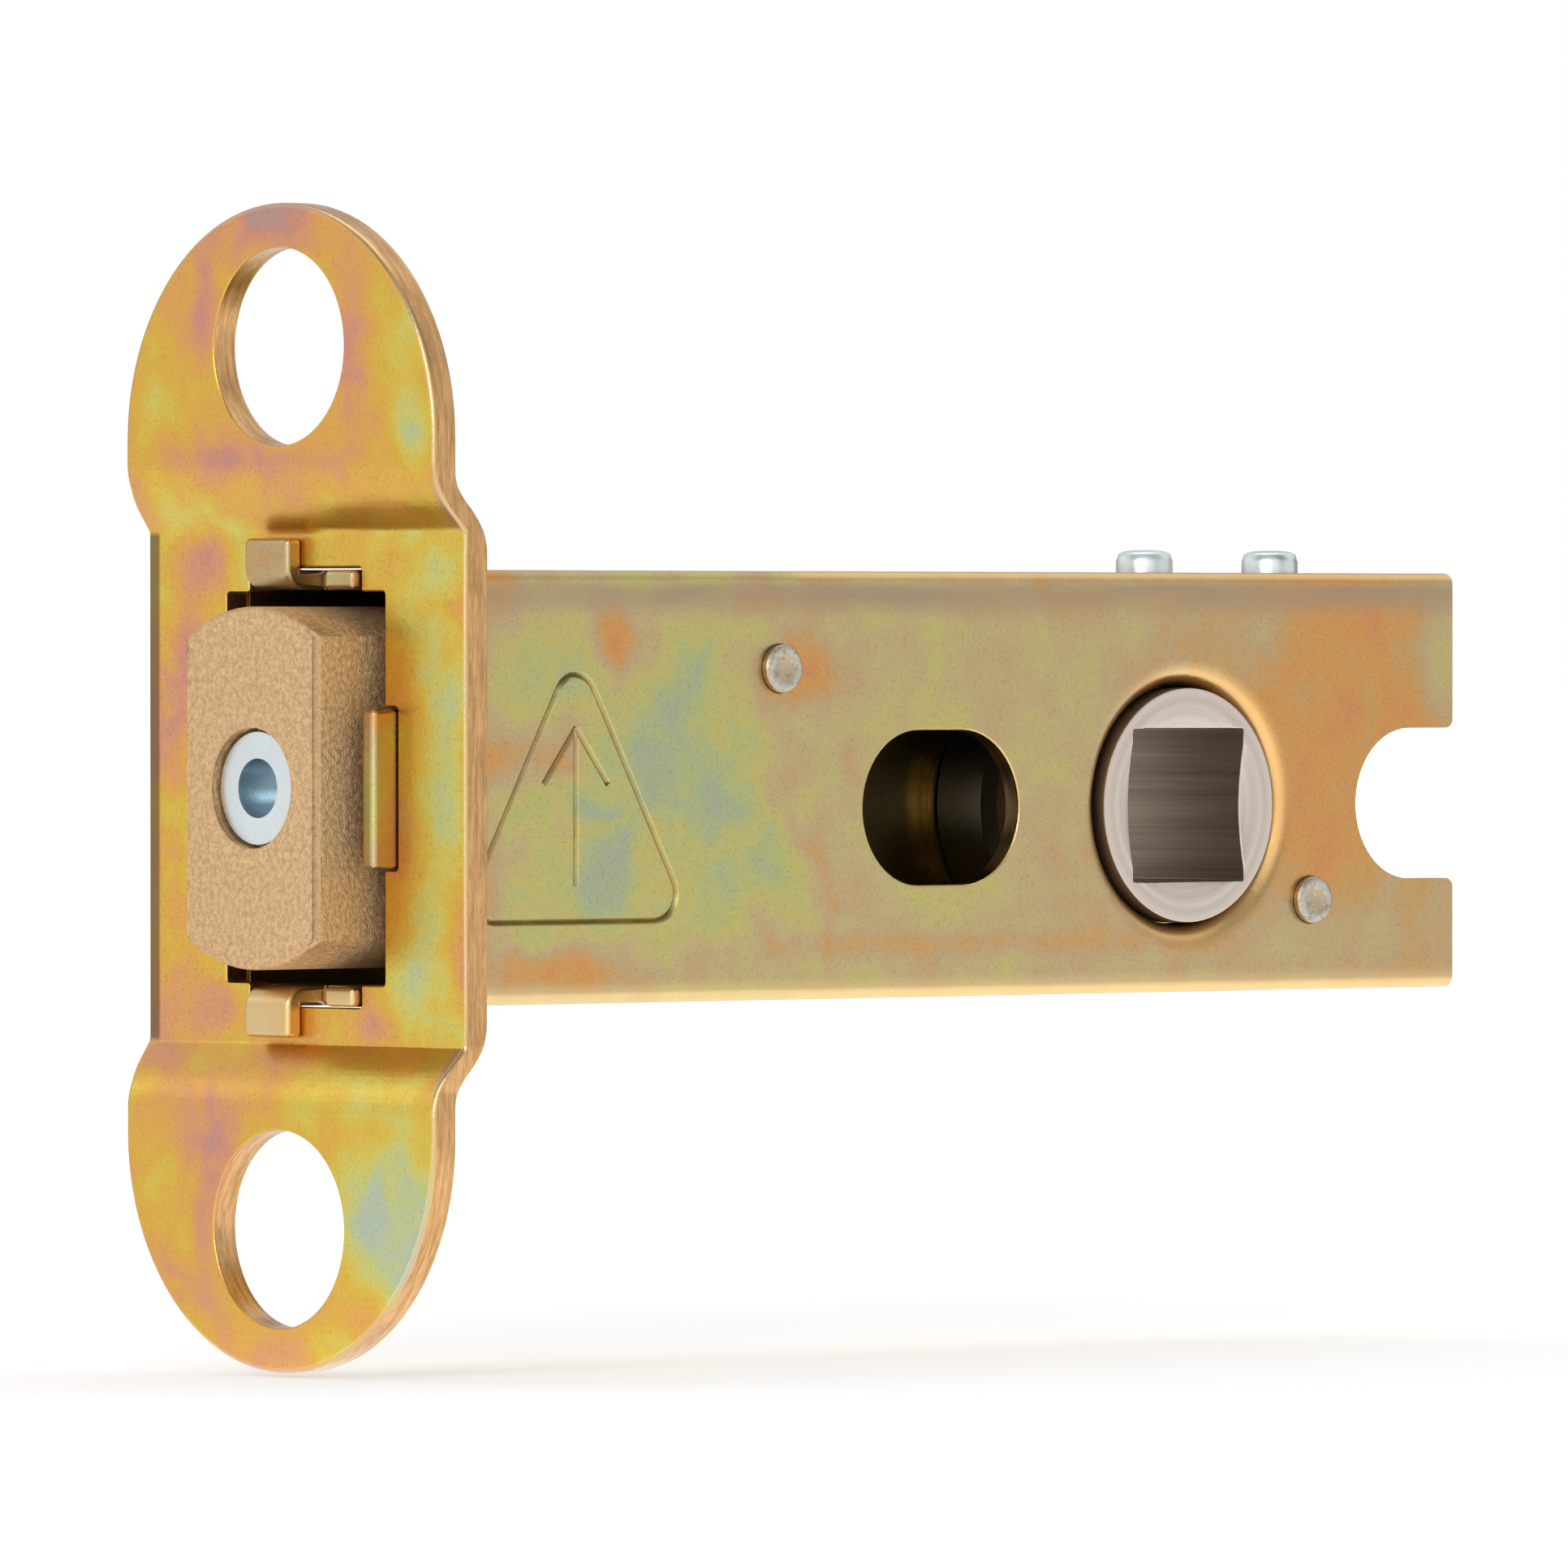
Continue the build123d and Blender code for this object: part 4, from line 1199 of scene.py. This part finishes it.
room = bpy.data.worlds.new("room")
room.use_nodes = True
scene.world = room
air = room.node_tree
sky = air.nodes["Background"]
heading = put(air, "ShaderNodeTexCoord").outputs["Generated"]


def glow_towards(direction, inner, outer, level):
    sockets = {0: heading, 1: Vector(direction).normalized()}
    along = put(air, "ShaderNodeVectorMath", sockets, operation="DOT_PRODUCT").outputs["Value"]
    return span(air, along, outer, inner, 0.0, level)


walls = (
    ((0.68, -0.73, -0.05), 0.92, 0.72, 0.66),
    ((-0.78, 0.62, 0.0), 0.92, 0.7, 0.66),
    ((-0.62, -0.76, 0.15), 0.94, 0.6, 1.0),
    ((0.68, 0.0, 0.73), 0.93, 0.8, 0.75),
    ((-0.13, 0.73, 0.67), 0.93, 0.75, 0.6),
    ((0.68, 0.73, 0.05), 0.97, 0.85, 0.5),
    ((-1.0, 0.05, 0.0), 0.97, 0.8, 0.4),
)
reflected = ROOM_LEVEL
for wall in walls:
    reflected = reckon(air, "ADD", glow_towards(*wall), reflected)
camera_ray = put(air, "ShaderNodeLightPath").outputs["Is Camera Ray"]
sky.inputs["Color"].default_value = (1.0, 1.0, 1.0, 1.0)
air.links.new(reckon(air, "MAXIMUM", camera_ray, reflected), sky.inputs["Strength"])


def soft_box(name, place, width, power):
    light = bpy.data.lights.new(name, "AREA")
    light.shape = "DISK"
    light.size = width
    light.energy = power
    lamp = bpy.data.objects.new(name, light)
    lamp.location = place
    lamp.rotation_euler = (LOCK_MIDDLE - Vector(place)).to_track_quat("-Z", "Y").to_euler()
    lamp.visible_camera = False
    scene.collection.objects.link(lamp)


soft_box("left_box", (-0.85, -0.5, 0.35), 0.5, 3.0)
soft_box("top_box", (0.1, 0.15, 1.1), 0.9, 3.0)

lens = bpy.data.cameras.new("camera")
lens.lens = LENS
lens.sensor_width = 36.0
lens.clip_start = 0.01
lens.clip_end = 50.0
camera = bpy.data.objects.new("camera", lens)
camera.location = VIEWPOINT
camera.rotation_euler = (AIM - VIEWPOINT).to_track_quat("-Z", "Y").to_euler()
scene.collection.objects.link(camera)
scene.camera = camera
scene.view_settings.view_transform = "Standard"
